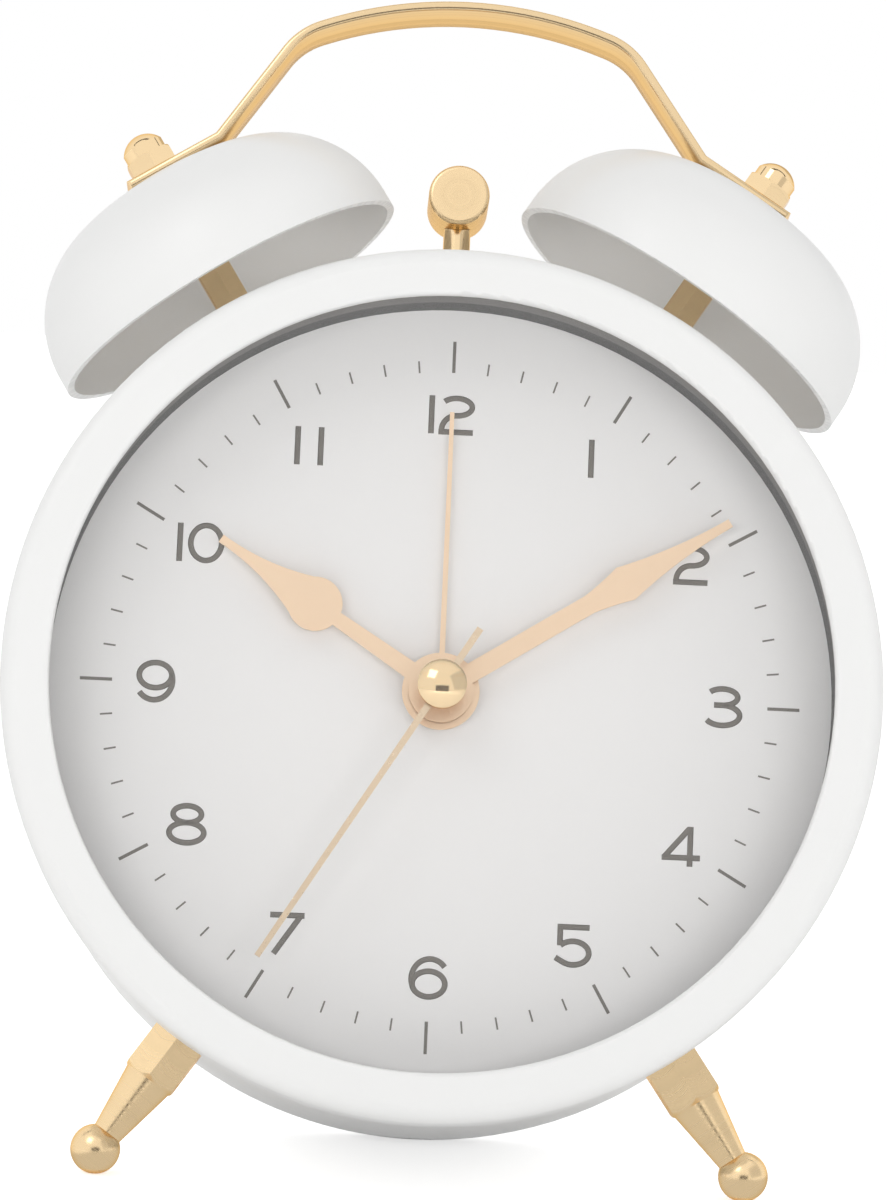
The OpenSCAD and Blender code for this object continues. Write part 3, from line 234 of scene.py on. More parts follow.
class ClockStudio(bpy.types.PropertyGroup):
    lens: FloatProperty(
        name="Lens", description="Focal length of the camera in millimetres", default=160.5)
    key_power: FloatProperty(
        name="Key light", description="Power of the soft light from above", unit="POWER", default=0.8)
    low_power: FloatProperty(
        name="Low light", description="Power of the low front light", unit="POWER", default=2.1)
    bright_side: FloatProperty(
        name="Bright side", description="Level of the surround behind the clock", default=1.0)
    dim_side: FloatProperty(
        name="Dim side", description="Level of the surround in front of the clock", default=0.26)
    flag_level: FloatProperty(
        name="Flags", description="Level of the grey cards that the brass mirrors", default=0.68)
    dark_flag: FloatProperty(
        name="Dark flags", description="Level of the dark cards in front of and above the clock", default=0.1)
    floor_lift: FloatProperty(
        name="Floor lift", description="Share of white that the camera sees on the floor", default=0.55)
    mirror_lift: FloatProperty(
        name="Mirror lift", description="Share of white that metal and lens mirror from the floor",
        default=0.2)


# Shader groups


def new_group(name, inputs, outputs):
    """An empty shader group with named sockets; inputs give (socket type, default)."""
    group = bpy.data.node_groups.new(name, "ShaderNodeTree")
    for label, (kind, default) in inputs.items():
        socket = group.interface.new_socket(label, in_out="INPUT", socket_type=kind)
        socket.default_value = default
    for label, kind in outputs.items():
        group.interface.new_socket(label, in_out="OUTPUT", socket_type=kind)
    start = group.nodes.new("NodeGroupInput")
    end = group.nodes.new("NodeGroupOutput")
    return group, start, end


def math_node(tree, operation, first, second):
    """A math node; each operand is a socket or a number."""
    node = tree.nodes.new("ShaderNodeMath")
    node.operation = operation
    for slot, value in enumerate((first, second)):
        if isinstance(value, (int, float)):
            node.inputs[slot].default_value = value
        else:
            tree.links.new(value, node.inputs[slot])
    return node.outputs[0]


def vector_node(tree, operation, first, second, output="Vector"):
    """A vector math node on two sockets, or on one where the second is None."""
    node = tree.nodes.new("ShaderNodeVectorMath")
    node.operation = operation
    tree.links.new(first, node.inputs[0])
    if second is not None:
        tree.links.new(second, node.inputs[1])
    return node.outputs[output]


def range_node(tree, value, source, result):
    """A map range node from one pair of limits to another."""
    node = tree.nodes.new("ShaderNodeMapRange")
    for label, limit in zip(("From Min", "From Max", "To Min", "To Max"), (*source, *result)):
        node.inputs[label].default_value = limit
    tree.links.new(value, node.inputs["Value"])
    return node


def grain_group():
    """Fine grain and broad patches: a mask for each, from the object's own coordinates."""
    group, start, end = new_group(
        "Surface grain",
        {"Grain per metre": ("NodeSocketFloat", 1500.0), "Patches per metre": ("NodeSocketFloat", 40.0)},
        {"Grain": "NodeSocketFloat", "Patches": "NodeSocketFloat"})
    place = group.nodes.new("ShaderNodeTexCoord").outputs["Object"]
    for label, detail, output in (("Grain per metre", 3.0, "Grain"), ("Patches per metre", 2.0, "Patches")):
        noise = group.nodes.new("ShaderNodeTexNoise")
        noise.inputs["Detail"].default_value = detail
        group.links.new(place, noise.inputs["Vector"])
        group.links.new(start.outputs[label], noise.inputs["Scale"])
        group.links.new(noise.outputs["Fac"], end.inputs[output])
    return group


def turned_group():
    """Tool marks that run round an axis, on sides and on faces, or along a flat strip."""
    group, start, end = new_group(
        "Turned marks",
        {"Centre": ("NodeSocketVector", (0, 0, 0)), "Axis": ("NodeSocketVector", (0, 0, 1)),
         "Radial": ("NodeSocketFloat", 1.0), "Marks per metre": ("NodeSocketFloat", 3000.0)},
        {"Fine": "NodeSocketFloat", "Broad": "NodeSocketFloat"})
    place = group.nodes.new("ShaderNodeTexCoord").outputs["Object"]
    offset = vector_node(group, "SUBTRACT", place, start.outputs["Centre"])
    along = vector_node(group, "DOT_PRODUCT", offset, start.outputs["Axis"], "Value")
    across = vector_node(group, "CROSS_PRODUCT", offset, start.outputs["Axis"])
    radius = vector_node(group, "LENGTH", across, None, "Value")
    reach = math_node(group, "ADD", along, math_node(group, "MULTIPLY", radius, start.outputs["Radial"]))
    for factor, detail, output in ((1.0, 2.0, "Fine"), (0.12, 1.0, "Broad")):
        noise = group.nodes.new("ShaderNodeTexNoise")
        noise.noise_dimensions = "1D"
        noise.inputs["Detail"].default_value = detail
        group.links.new(reach, noise.inputs["W"])
        scale = math_node(group, "MULTIPLY", start.outputs["Marks per metre"], factor)
        group.links.new(scale, noise.inputs["Scale"])
        group.links.new(noise.outputs["Fac"], end.inputs[output])
    return group


def band_group():
    """A mask that goes from zero to one between two depths along an axis."""
    group, start, end = new_group(
        "Depth band",
        {"Origin": ("NodeSocketVector", (0, 0, 0)), "Axis": ("NodeSocketVector", (0, 1, 0)),
         "From": ("NodeSocketFloat", 0.0), "To": ("NodeSocketFloat", 0.001)},
        {"Mask": "NodeSocketFloat"})
    place = group.nodes.new("ShaderNodeTexCoord").outputs["Object"]
    offset = vector_node(group, "SUBTRACT", place, start.outputs["Origin"])
    depth = vector_node(group, "DOT_PRODUCT", offset, start.outputs["Axis"], "Value")
    step = group.nodes.new("ShaderNodeMapRange")
    step.interpolation_type = "SMOOTHSTEP"
    group.links.new(depth, step.inputs["Value"])
    group.links.new(start.outputs["From"], step.inputs["From Min"])
    group.links.new(start.outputs["To"], step.inputs["From Max"])
    group.links.new(step.outputs["Result"], end.inputs["Mask"])
    return group


def inner_group():
    """A mask for the faces of a hollow form that look towards a point in its mouth."""
    group, start, end = new_group(
        "Inner side", {"Centre": ("NodeSocketVector", (0, 0, 0))}, {"Mask": "NodeSocketFloat"})
    coordinates = group.nodes.new("ShaderNodeTexCoord").outputs
    offset = vector_node(group, "SUBTRACT", coordinates["Object"], start.outputs["Centre"])
    facing = vector_node(group, "DOT_PRODUCT", offset, coordinates["Normal"], "Value")
    group.links.new(math_node(group, "LESS_THAN", facing, 0.0), end.inputs["Mask"])
    return group


def shared(maker, name):
    """The group of that name, made on first use."""
    return bpy.data.node_groups.get(name) or maker()


# Materials


def new_material(name, **sockets):
    """A material with one Principled shader; sockets set its own constants by label."""
    material = bpy.data.materials.new(name)
    material.use_nodes = True
    shader = material.node_tree.nodes["Principled BSDF"]
    for label, value in sockets.items():
        shader.inputs[label.replace("_", " ")].default_value = value
    return material, shader


def place_group(material, group, **values):
    """A group node in a material with its own values."""
    node = material.node_tree.nodes.new("ShaderNodeGroup")
    node.node_tree = group
    for label, value in values.items():
        node.inputs[label.replace("_", " ")].default_value = value
    return node


def spread(material, mask, low, high, target):
    """Feeds a shader socket with a mask, spread between two values."""
    span = range_node(material.node_tree, mask, MASK_RANGE, (low, high))
    material.node_tree.links.new(span.outputs["Result"], target)


def tint(material, mask, first, second, target=None):
    """Mixes two colours by a mask; a colour may be a socket."""
    tree = material.node_tree
    mix = tree.nodes.new("ShaderNodeMix")
    mix.data_type = "RGBA"
    tree.links.new(mask, mix.inputs["Factor"])
    for label, colour in (("A", first), ("B", second)):
        socket = next(s for s in mix.inputs if s.name == label and s.type == "RGBA")
        if isinstance(colour, bpy.types.NodeSocket):
            tree.links.new(colour, socket)
        else:
            socket.default_value = colour
    result = next(s for s in mix.outputs if s.type == "RGBA")
    if target is not None:
        tree.links.new(result, target)
    return result


def relief(material, shader, mask, strength, distance):
    """A bump from a mask, in metres."""
    tree = material.node_tree
    bump = tree.nodes.new("ShaderNodeBump")
    bump.inputs["Strength"].default_value = strength
    bump.inputs["Distance"].default_value = distance
    tree.links.new(mask, bump.inputs["Height"])
    tree.links.new(bump.outputs["Normal"], shader.inputs["Normal"])


def toned(colour, factor):
    """A colour with its light scaled."""
    return tuple(c * factor for c in colour[:3]) + (1.0,)


def grained_material(name, colour, *, rough, grain, depth, variation=0.94, **sockets):
    """Paint, moulding or sheet with fine grain and faint patches."""
    material, shader = new_material(name, **sockets)
    grains = place_group(material, shared(grain_group, "Surface grain"), Grain_per_metre=grain)
    tint(material, grains.outputs["Patches"], toned(colour, variation), tuple(colour),
         shader.inputs["Base Color"])
    spread(material, grains.outputs["Grain"], *rough, shader.inputs["Roughness"])
    relief(material, shader, grains.outputs["Grain"], strength=0.35, distance=depth)
    return material


def turned_material(name, colour, centre, axis, *, rough, radial=1.0, marks=3000.0, depth=0.000004,
                    dark=0.72):
    """Metal with tool marks round an axis and a slight change of tone."""
    material, shader = new_material(name, Metallic=1.0, Specular_Tint=toned(colour, 0.9))
    lines = place_group(material, shared(turned_group, "Turned marks"),
                        Centre=centre, Axis=axis, Radial=radial, Marks_per_metre=marks)
    grains = place_group(material, shared(grain_group, "Surface grain"))
    patched = tint(material, grains.outputs["Patches"], toned(colour, 0.9), tuple(colour))
    dull = range_node(material.node_tree, lines.outputs["Broad"], DULL_RANGE, (0.0, DULL_SHARE))
    tint(material, dull.outputs["Result"], patched, toned(colour, dark), shader.inputs["Base Color"])
    spread(material, lines.outputs["Fine"], *rough, shader.inputs["Roughness"])
    relief(material, shader, lines.outputs["Fine"], strength=0.4, distance=depth)
    return material


def finish_node(name, material):
    """Gives a CAD node its material."""
    slots = NODES[name].data.materials
    slots.clear()
    slots.append(material)


def colours():
    """The scene's colour settings."""
    return bpy.context.scene.clock_colours


def sizes():
    """The scene's size settings."""
    return bpy.context.scene.clock_sizes


# Meshes


def finished_piece(name, mesh, body, material):
    """An object at the origin from a finished mesh, riding on a body."""
    mesh.materials.append(material)
    piece = bpy.data.objects.new(name, mesh)
    bpy.context.scene.collection.objects.link(piece)
    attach(piece, body)
    return piece


def mesh_from(bm, name, matrix):
    """A mesh from a bmesh, with merged doubles and outward normals, set in its place."""
    bmesh.ops.remove_doubles(bm, verts=bm.verts, dist=1e-7)
    bmesh.ops.recalc_face_normals(bm, faces=bm.faces)
    bm.transform(matrix)
    mesh = bpy.data.meshes.new(name)
    bm.to_mesh(mesh)
    bm.free()
    return mesh


def softened_piece(node, body, material, rounding, ends):
    """A copy that stands for a node, with the edges of its end faces along the dial's axis rounded over."""
    bm = bmesh.new()
    bm.from_mesh(NODES[node].data)
    bmesh.ops.remove_doubles(bm, verts=bm.verts, dist=WELD)
    bmesh.ops.dissolve_limit(bm, angle_limit=radians(FLAT_ANGLE), verts=bm.verts, edges=bm.edges)
    reach = {vertex: vertex.co.dot(DEPTH_AXIS) for vertex in bm.verts}
    planes = [end(reach.values()) for end in ends]
    outer = [edge for edge in bm.edges if edge.is_manifold and edge.calc_face_angle() > radians(SHARP_ANGLE)
             and any(all(abs(reach[vertex] - plane) < WELD for vertex in edge.verts) for plane in planes)]
    bmesh.ops.bevel(bm, geom=outer, offset=rounding, offset_type="OFFSET", affect="EDGES", segments=3,
                    profile=0.5, material=-1, clamp_overlap=False)
    name = f"{node}_finished"
    mesh = mesh_from(bm, name, Matrix())
    mesh.shade_smooth()
    mesh.set_sharp_from_angle(angle=radians(CREASE_ANGLE))
    piece = finished_piece(name, mesh, body, material)
    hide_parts(node)


def stroke_mesh(name, strokes, width, rise):
    """Flat printed strokes in the XY plane, from lists of points, as one mesh."""
    curve = bpy.data.curves.new(name, "CURVE")
    curve.dimensions = "3D"
    curve.bevel_depth = width / 2
    curve.bevel_resolution = 1
    curve.use_fill_caps = True
    for points, closed in strokes:
        line = curve.splines.new("POLY")
        line.points.add(len(points) - 1)
        line.use_cyclic_u = closed
        for point, (x, y) in zip(line.points, points):
            point.co = (x, y, 0, 1)
    drawn = bpy.data.objects.new(name, curve)
    bpy.context.scene.collection.objects.link(drawn)
    bpy.context.view_layer.update()
    mesh = bpy.data.meshes.new_from_object(drawn.evaluated_get(bpy.context.evaluated_depsgraph_get()))
    bpy.data.objects.remove(drawn)
    bpy.data.curves.remove(curve)
    mesh.transform(Matrix.Diagonal((1, 1, 2 * rise / width, 1)))
    return mesh


def arc(cx, cy, rx, ry, start, end, steps=28):
    """Points on an ellipse between two angles in degrees."""
    turns = [radians(start + (end - start) * i / steps) for i in range(steps + 1)]
    return [(cx + rx * cos(a), cy + ry * sin(a)) for a in turns]


def digit_strokes(digit):
    """Centre lines of a plain geometric numeral, in mm from the middle of its box."""
    if digit == "0":
        return [(arc(0, 0, 1.78, 2.05, 0, 360, 44)[:-1], True)]
    if digit == "1":
        return [([(0, -2.25), (0, 2.25)], False)]
    if digit == "2":
        return [(arc(0.05, 0.98, 1.77, 1.03, 145, -90) + arc(0.05, -1.8, 1.7, 1.75, 90, 180, 16)[1:], False),
                ([(-2.0, -2.0), (2.0, -2.0)], False)]
    if digit == "3":
        return [(arc(-0.2, 1.14, 1.75, 0.95, 145, -90), False),
                ([(-1.17, 0.19), (-0.2, 0.19)], False),
                (arc(-0.2, -0.98, 2.03, 1.17, 90, -150), False)]
    if digit == "4":
        return [([(1.03, -2.3), (1.03, 2.3)], False), ([(0.92, 2.1), (-1.9, -1.25)], False),
                ([(-2.2, -1.3), (2.2, -1.3)], False)]
    if digit == "5":
        return [([(-1.84, 2.14), (1.84, 2.14)], False), ([(-1.5, 2.14), (-1.5, 0.0)], False),
                (arc(0.02, -0.82, 1.82, 1.35, 143, -125) + [(-2.0, -1.4)], False)]
    if digit == "6":
        return [([(-x, -y) for x, y in points], closed) for points, closed in digit_strokes("9")]
    if digit == "7":
        return [([(-1.96, 2.06), (1.96, 2.06)], False), ([(1.58, 2.1), (-1.4, -2.38)], False)]
    if digit == "8":
        return [(arc(0, 1.16, 1.62, 0.97, 0, 360, 36)[:-1], True),
                (arc(0, -0.97, 1.99, 1.16, 0, 360, 40)[:-1], True)]
    return [(arc(-0.05, 0.7, 1.87, 1.46, 0, 360, 40)[:-1], True),
            (arc(-0.16, 0.12, 2.1, 2.28, 20, -142), False)]


def ink_material():
    """The dial's ink, made on first use."""
    name = "Dial ink"
    return bpy.data.materials.get(name) or grained_material(
        name, colours().printing, rough=(0.5, 0.62), grain=4000.0, depth=0.000002)


def stage_sheet(name, matrix, material):
    """A flat sheet for the stage: a square of one metre that a matrix sets in its place."""
    bm = bmesh.new()
    bmesh.ops.create_grid(bm, x_segments=1, y_segments=1, size=0.5)
    bm.transform(matrix)
    mesh = bpy.data.meshes.new(name)
    bm.to_mesh(mesh)
    bm.free()
    mesh.materials.append(material)
    sheet = bpy.data.objects.new(name, mesh)
    bpy.context.scene.collection.objects.link(sheet)
    return sheet


# Operators


class CLOCK_OT_shell(bpy.types.Operator):
    """Sprays the case, bezel and bells with satin white paint"""

    bl_idname = "clock.shell"
    bl_label = "Painted shell"

    def execute(self, context):
        paint = self.paint("Satin white paint")
        for name in ("case_shell", "bezel"):
            finish_node(name, paint)
        for side, word in SIDES:
            bell = f"{word}_bell"
            axis = side_axis(side, BELL_ANGLE, 1)
            mouth = min((vertex.co - BELL_ORIGIN).dot(axis) for vertex in NODES[bell].data.vertices)
            finish_node(bell, self.bell_paint(f"Satin white paint, {word} bell", BELL_ORIGIN + mouth * axis))
        return {"FINISHED"}

    def paint(self, name):
        """Satin paint under a thin clear coat."""
        return grained_material(name, colours().paint, rough=(0.36, 0.46), grain=900.0, depth=0.000006,
                                variation=0.985, Coat_Weight=0.15, Coat_Roughness=0.25)

    def bell_paint(self, name, mouth):
        """The paint, lightened on the bell's inner side as painted light that stands in for light bounced
        into the bell.
        """
        paint = self.paint(name)
        shader = paint.node_tree.nodes["Principled BSDF"]
        inner = place_group(paint, shared(inner_group, "Inner side"), Centre=mouth)
        outer = shader.inputs["Base Color"].links[0].from_socket
        # Painted light: the inner side gets a lighter copy of the paint against the shade inside the bell
        tint(paint, inner.outputs["Mask"], outer, tuple(colours().bell_inside), shader.inputs["Base Color"])
        return paint


class CLOCK_OT_brass(bpy.types.Operator):
    """Turned brass on legs, posts, cap nuts, handle and hammer"""

    bl_idname = "clock.brass"
    bl_label = "Turned brass"

    def execute(self, context):
        # Painted light: the outer brass is a lightened copy of the brass that the centre cap keeps
        brass = toned(colours().brass, BRASS_LIGHT_LIFT)
        for side, word in SIDES:
            finish_node(f"{word}_leg", turned_material(
                f"Turned brass, {word} leg", brass, clock_point(0, LEG_DEPTH, 0),
                side_axis(side, LEG_ANGLE, -1), rough=(0.17, 0.3), marks=2600.0, depth=0.000002, dark=0.86))
            bell_axis = side_axis(side, BELL_ANGLE, 1)
            finish_node(f"{word}_bell_post", turned_material(
                f"Turned brass, {word} bell post", brass, BELL_ORIGIN, bell_axis,
                rough=(0.16, 0.26), depth=0.000001, dark=0.9))
            finish_node(f"{word}_cap_nut", turned_material(
                f"Polished brass, {word} cap nut", brass, BELL_ORIGIN, bell_axis,
                rough=(0.06, 0.14), depth=0.0000006, dark=0.92))
        strip = turned_material(
            "Drawn brass strip", brass, clock_point(0, BELL_DEPTH, 0), DEPTH_AXIS,
            rough=(0.12, 0.24), radial=0.0, marks=5000.0, dark=0.5)
        softened_piece("handle", "clock", strip, sizes().strap_rounding, (min, max))
        finish_node("hammer_head", turned_material(
            "Turned brass, hammer", brass, HAMMER_CENTRE, DEPTH_AXIS, rough=(0.2, 0.36), marks=3600.0))
        finish_node("hammer_arm", turned_material(
            "Polished brass, hammer arm", brass, HAMMER_CENTRE, DEPTH_AXIS,
            rough=(0.1, 0.18), depth=0.0000006, dark=0.92))
        return {"FINISHED"}


class CLOCK_OT_face(bpy.types.Operator):
    """Satin dial, recess ring that turns darker towards the dial, and clear lens"""

    bl_idname = "clock.face"
    bl_label = "Dial, ring and lens"

    def execute(self, context):
        finish_node("dial", grained_material(
            "Satin dial", colours().dial, rough=(0.42, 0.5), grain=3500.0, depth=0.000002, variation=0.985))
        finish_node("dial_ring", self.ring())
        finish_node("lens", self.lens())
        return {"FINISHED"}

    def ring(self):
        """Dark at the front and darker towards the dial."""
        material, shader = new_material("Recess ring")
        band = place_group(material, shared(band_group, "Depth band"), Origin=CENTRE, Axis=DEPTH_AXIS,
                           From=RING_STEP[0], To=RING_STEP[1])
        grains = place_group(material, shared(grain_group, "Surface grain"), Grain_per_metre=2500.0)
        front = tuple(colours().ring)
        tint(material, band.outputs["Mask"], front, toned(front, RING_SHADE), shader.inputs["Base Color"])
        spread(material, grains.outputs["Grain"], 0.42, 0.55, shader.inputs["Roughness"])
        relief(material, shader, grains.outputs["Grain"], strength=0.3, distance=0.000004)
        return material

    def lens(self):
        """Clear plastic that shadow and diffuse rays pass through, so that the dial counts each lamp once."""
        material, shader = new_material(
            "Clear lens", Base_Color=(1, 1, 1, 1), Transmission_Weight=1.0, IOR=1.45)
        smears = place_group(material, shared(grain_group, "Surface grain"))
        spread(material, smears.outputs["Patches"], 0.0, 0.012, shader.inputs["Roughness"])
        tree = material.node_tree
        clear = tree.nodes.new("ShaderNodeBsdfTransparent")
        mix = tree.nodes.new("ShaderNodeMixShader")
        path = tree.nodes.new("ShaderNodeLightPath").outputs
        passing = math_node(tree, "MAXIMUM", path["Is Shadow Ray"], path["Is Diffuse Ray"])
        tree.links.new(passing, mix.inputs["Fac"])
        tree.links.new(shader.outputs[0], mix.inputs[1])
        tree.links.new(clear.outputs[0], mix.inputs[2])
        tree.links.new(mix.outputs[0], tree.nodes["Material Output"].inputs["Surface"])
        return material


class CLOCK_OT_ticks(bpy.types.Operator):
    """Prints the hour and minute ticks on the dial"""

    bl_idname = "clock.ticks"
    bl_label = "Dial ticks"

    def execute(self, context):
        size = sizes()
        bm = bmesh.new()
        for minute in range(60):
            hour = minute % 5 == 0
            end = size.hour_tick_end if hour else size.minute_tick_end
            width = size.hour_tick_width if hour else size.minute_tick_width
            length = end - size.tick_start
            place = (Matrix.Rotation(radians(-6 * minute), 4, "Z")
                     @ Matrix.Translation((0, size.tick_start + length / 2, 0))
                     @ Matrix.Diagonal((width, length, 2 * size.print_rise, 1)))
            bmesh.ops.create_cube(bm, size=1, matrix=place)
        finished_piece("dial_ticks", mesh_from(bm, "dial_ticks", DIAL), "clock", ink_material())
        return {"FINISHED"}


class CLOCK_OT_numerals(bpy.types.Operator):
    """Prints the twelve upright hour numerals on the dial"""

    bl_idname = "clock.numerals"
    bl_label = "Dial numerals"

    def execute(self, context):
        size = sizes()
        scale = size.numeral_height / NUMERAL_HEIGHT
        lines = []
        for hour in range(1, 13):
            digits = str(hour)
            turn = radians(30 * hour)
            x, y = size.numeral_radius * sin(turn), size.numeral_radius * cos(turn)
            for digit, place in zip(digits, DIGIT_PLACES.get(digits, (0.0,))):
                for points, closed in digit_strokes(digit):
                    lines.append(([(x + (place + px) * scale, y + py * scale) for px, py in points], closed))
        mesh = stroke_mesh("dial_numerals", lines, size.numeral_stroke, size.print_rise)
        mesh.transform(DIAL)
        finished_piece("dial_numerals", mesh, "clock", ink_material())
        return {"FINISHED"}


class CLOCK_OT_hands(bpy.types.Operator):
    """Satin finish of the hands and the centre cap"""

    bl_idname = "clock.hands"
    bl_label = "Hands"

    def execute(self, context):
        rose = grained_material("Satin rose brass", colours().rose, rough=(0.3, 0.42), grain=2600.0,
                                depth=0.000003, variation=0.93, Metallic=0.85)
        for name in ("hour_hand", "minute_hand", "alarm_hand"):
            finish_node(name, rose)
        finish_node("second_hand", grained_material(
            "Satin brass, second hand", SECOND_HAND, rough=(0.26, 0.36), grain=2600.0, depth=0.000002,
            Metallic=1.0))
        finish_node("centre_cap", turned_material(
            "Polished brass, centre cap", tuple(colours().brass), CENTRE, DEPTH_AXIS,
            rough=(0.07, 0.13), marks=5000.0, depth=0.000001, dark=0.9))
        return {"FINISHED"}


class CLOCK_OT_movement(bpy.types.Operator):
    """Finishes of the works inside the case"""

    bl_idname = "clock.movement"
    bl_label = "Works"

    def execute(self, context):
        steel = turned_material("Plain steel", STEEL, CENTRE, DEPTH_AXIS, rough=(0.28, 0.42), marks=1800.0,
                                dark=0.85)
        for name in ("leg_nuts", "bell_post_nuts", "hammer_pivot_pin", "hammer_bracket", "bracket_screws",
                     "bell_motor", "movement_screws", "stator", "battery_contacts", "back_cover_screws"):
            finish_node(name, steel)
        finish_node("centre_wheel", turned_material(
            "Turned brass, centre wheel", tuple(colours().brass), CENTRE, DEPTH_AXIS, rough=(0.22, 0.36)))
        acetal = grained_material("Moulded acetal", ACETAL, rough=(0.35, 0.45), grain=1800.0, depth=0.000006)
        for name in ("motor_eccentric", "hour_wheel", "second_wheel", "third_wheel", "minute_wheel",
                     "alarm_wheel", "alarm_pinion", "movement_plate", "step_motor"):
            finish_node(name, acetal)
        dark = grained_material(
            "Dark moulding", DARK_MOULDING, rough=(0.45, 0.6), grain=1600.0, depth=0.000012)
        for name in ("chassis", "movement_cover", "alarm_switch"):
            finish_node(name, dark)
        finish_node("drive_coil", turned_material(
            "Enamelled winding", WINDING, clock_point(*COIL_PLACE), clock_direction(1, 0, 0),
            rough=(0.25, 0.4), radial=0.0, marks=7000.0, depth=0.00004))
        finish_node("circuit_board", grained_material(
            "Board resist", BOARD_RESIST, rough=(0.25, 0.35), grain=900.0, depth=0.000008))
        finish_node("battery_cell", grained_material(
            "Cell sleeve", CELL_SLEEVE, rough=(0.24, 0.3), grain=2400.0, depth=0.0000006))
        return {"FINISHED"}


class CLOCK_OT_back(bpy.types.Operator):
    """Moulded back with its knobs, door and turning marks"""

    bl_idname = "clock.back"
    bl_label = "Back"

    def execute(self, context):
        moulding = grained_material("White moulding", colours().moulding, rough=(0.42, 0.55), grain=1400.0,
                                    depth=0.00002, variation=0.97)
        for name in ("time_knob", "alarm_knob"):
            finish_node(name, moulding)
        for name, body in (("back_cover", "clock"), ("battery_door", "door")):
            softened_piece(name, body, moulding, sizes().moulding_rounding, (max,))
        mesh = stroke_mesh("knob_arrows", self.arrow_lines(), ARROW_STROKE * MM, ARROW_RISE * MM)
        mesh.transform(BACK)
        finished_piece("knob_arrows", mesh, "clock", moulding)
        return {"FINISHED"}

    def arrow_lines(self):
        """A curved arrow over each knob, as strokes on the back's face."""
        lines = []
        start, end = ARROW_ENDS
        heading = atan2(cos(radians(end)), -sin(radians(end)))
        radius = ARROW_RADIUS * MM
        for side, _ in SIDES:
            curved = arc(side * ARROW_MIDDLE[0] * MM, ARROW_MIDDLE[1] * MM, radius, radius, start, end, 24)
            lines.append((curved, False))
            tip = Vector(curved[-1])
            for turn in (ARROW_BARB_TURN, -ARROW_BARB_TURN):
                way = heading + radians(turn)
                barb = tip + ARROW_BARB * MM * Vector((cos(way), sin(way)))
                lines.append(([tuple(tip), tuple(barb)], False))
        return lines


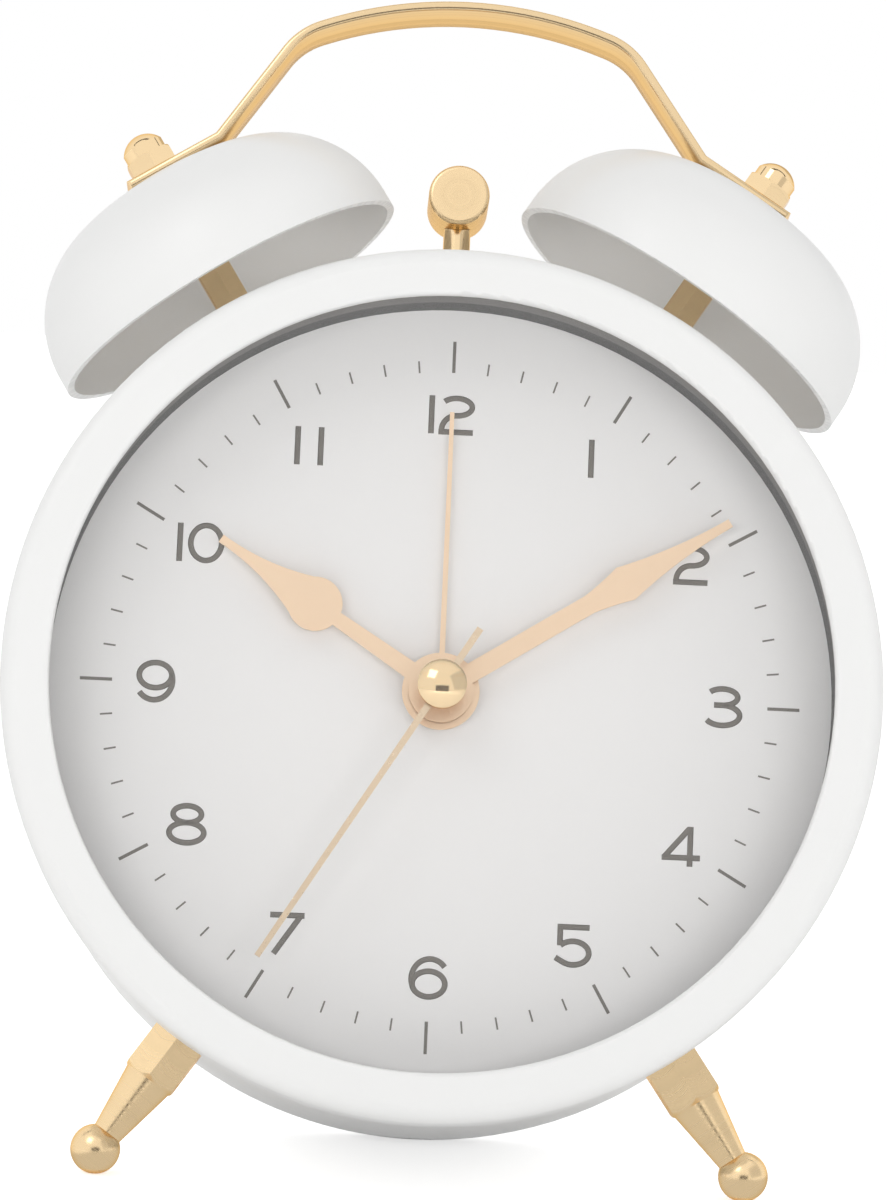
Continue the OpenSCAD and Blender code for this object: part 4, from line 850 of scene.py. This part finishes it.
class CLOCK_OT_stage(bpy.types.Operator):
    """Pale floor, soft light and the camera"""

    bl_idname = "clock.stage"
    bl_label = "Studio"

    def execute(self, context):
        scene = context.scene
        studio = scene.clock_studio
        scene.view_settings.view_transform = "Standard"
        self.floor(studio)
        self.surround(scene, studio)
        self.lamps(scene, studio)
        self.flags(studio)
        self.camera(scene, studio)
        return {"FINISHED"}

    def floor(self, studio):
        """White to the camera by its own lift, so that no more light falls on the clock."""
        material, shader = new_material("Pale floor", Roughness=0.9, Specular_IOR_Level=0.0)
        tree = material.node_tree
        grains = place_group(material, shared(grain_group, "Surface grain"))
        tint(material, grains.outputs["Patches"], *FLOOR_TONES, shader.inputs["Base Color"])
        path = tree.nodes.new("ShaderNodeLightPath").outputs
        mirrored = math_node(tree, "MAXIMUM", path["Is Glossy Ray"], path["Is Transmission Ray"])
        seen_lift = math_node(tree, "MULTIPLY", path["Is Camera Ray"], studio.floor_lift)
        mirror_lift = math_node(tree, "MULTIPLY", mirrored, studio.mirror_lift)
        glow = tree.nodes.new("ShaderNodeEmission")
        tree.links.new(math_node(tree, "ADD", seen_lift, mirror_lift), glow.inputs["Strength"])
        added = tree.nodes.new("ShaderNodeAddShader")
        tree.links.new(shader.outputs[0], added.inputs[0])
        tree.links.new(glow.outputs[0], added.inputs[1])
        tree.links.new(added.outputs[0], tree.nodes["Material Output"].inputs["Surface"])
        floor = stage_sheet("floor", Matrix.Diagonal((FLOOR_WIDTH, FLOOR_WIDTH, 1, 1)), material)

    def surround(self, scene, studio):
        """White where it is seen or mirrored; as a light it is bright behind the clock and dim in front."""
        world = bpy.data.worlds.new("Studio surround")
        world.use_nodes = True
        scene.world = world
        tree = world.node_tree
        facing = tree.nodes.new("ShaderNodeVectorMath")
        facing.operation = "DOT_PRODUCT"
        facing.inputs[1].default_value = Vector(SURROUND_AXIS).normalized()
        tree.links.new(tree.nodes.new("ShaderNodeTexCoord").outputs["Generated"], facing.inputs[0])
        level = range_node(
            tree, facing.outputs["Value"], SURROUND_RANGE, (studio.dim_side, studio.bright_side))
        level.interpolation_type = "SMOOTHSTEP"
        path = tree.nodes.new("ShaderNodeLightPath").outputs
        seen = math_node(tree, "MAXIMUM", path["Is Camera Ray"], path["Is Transmission Ray"])
        seen = math_node(tree, "MAXIMUM", seen, path["Is Glossy Ray"])
        strength = math_node(tree, "MAXIMUM", seen, level.outputs["Result"])
        backdrop = tree.nodes["Background"]
        backdrop.inputs["Color"].default_value = (1, 1, 1, 1)
        tree.links.new(strength, backdrop.inputs["Strength"])

    def lamps(self, scene, studio):
        """Two soft lamps that face the clock."""
        aim = clock_point(*LAMP_AIM)
        for name, place, size, setting, mirrored in LAMPS:
            lamp = bpy.data.lights.new(name, "AREA")
            lamp.shape = "RECTANGLE"
            lamp.size, lamp.size_y = size
            lamp.energy = getattr(studio, setting)
            holder = bpy.data.objects.new(name, lamp)
            holder.location = place
            holder.rotation_euler = (aim - Vector(place)).to_track_quat("-Z", "Y").to_euler()
            scene.collection.objects.link(holder)
            holder.visible_glossy = holder.visible_transmission = mirrored

    def flags(self, studio):
        """Cards that only polished surfaces mirror, as a studio stands them round brass; of those lying on
        the floor, the one under the clock is a painted shadow and the one in front makes the mirrored floor
        darker there.
        """
        for name, place, (width, height), setting, share in CARDS:
            place = Vector(place)
            lying = place.z < LYING_HEIGHT
            facing = Vector((0, 0, 1)) if lying else clock_point(*CARD_AIM) - place
            turn = facing.to_track_quat("Z", "Y").to_matrix().to_4x4()
            material = bpy.data.materials.new(name)
            material.use_nodes = True
            tree = material.node_tree
            tree.nodes.remove(tree.nodes["Principled BSDF"])
            grey = tree.nodes.new("ShaderNodeEmission")
            grey.inputs["Strength"].default_value = share * getattr(studio, setting)
            tree.links.new(grey.outputs[0], tree.nodes["Material Output"].inputs["Surface"])
            matrix = Matrix.Translation(place) @ turn @ Matrix.Diagonal((width, height, 1, 1))
            card = stage_sheet(name, matrix, material)
            for ray in ("camera", "diffuse", "volume_scatter", "shadow"):
                setattr(card, f"visible_{ray}", False)
            card.visible_transmission = not lying

    def camera(self, scene, studio):
        """The photograph's view: turned about the dial's centre, then stepped back from it."""
        turn = Matrix.Identity(3)
        for axis, angle in CAMERA_TURNS:
            turn = turn @ Matrix.Rotation(radians(angle), 3, axis)
        turn.transpose()
        local = turn.to_4x4()
        local.translation = turn @ Vector(CAMERA_STEP) / PIXELS_PER_MM * MM
        lens = bpy.data.cameras.new("camera")
        lens.lens = studio.lens
        lens.sensor_width = 36.0
        lens.clip_end = 20.0
        view = bpy.data.objects.new("camera", lens)
        view.matrix_world = DIAL @ local
        scene.collection.objects.link(view)
        scene.camera = view


OPERATORS = (CLOCK_OT_stage, CLOCK_OT_shell, CLOCK_OT_brass, CLOCK_OT_face, CLOCK_OT_ticks, CLOCK_OT_numerals,
             CLOCK_OT_hands, CLOCK_OT_movement, CLOCK_OT_back)


class CLOCK_PT_panel(bpy.types.Panel):
    """Lists the clock's settings and operators"""

    bl_idname = "CLOCK_PT_panel"
    bl_label = "Twin bell alarm clock"
    bl_space_type = "VIEW_3D"
    bl_region_type = "UI"
    bl_category = "Clock"

    def draw(self, context):
        for settings in (context.scene.clock_colours, context.scene.clock_sizes, context.scene.clock_studio):
            box = self.layout.box()
            for name in settings.bl_rna.properties.keys():
                if name not in ("rna_type", "name"):
                    box.prop(settings, name)
        for operator in OPERATORS:
            self.layout.operator(operator.bl_idname)


CLASSES = (ClockColours, ClockSizes, ClockStudio) + OPERATORS + (CLOCK_PT_panel,)


def register():
    for cls in CLASSES:
        bpy.utils.register_class(cls)
    bpy.types.Scene.clock_colours = PointerProperty(type=ClockColours)
    bpy.types.Scene.clock_sizes = PointerProperty(type=ClockSizes)
    bpy.types.Scene.clock_studio = PointerProperty(type=ClockStudio)


def unregister():
    del bpy.types.Scene.clock_studio
    del bpy.types.Scene.clock_sizes
    del bpy.types.Scene.clock_colours
    for cls in reversed(CLASSES):
        bpy.utils.unregister_class(cls)


def main():
    register()
    for operator in OPERATORS:
        family, action = operator.bl_idname.split(".")
        getattr(getattr(bpy.ops, family), action)()


if __name__ == "__main__":
    main()
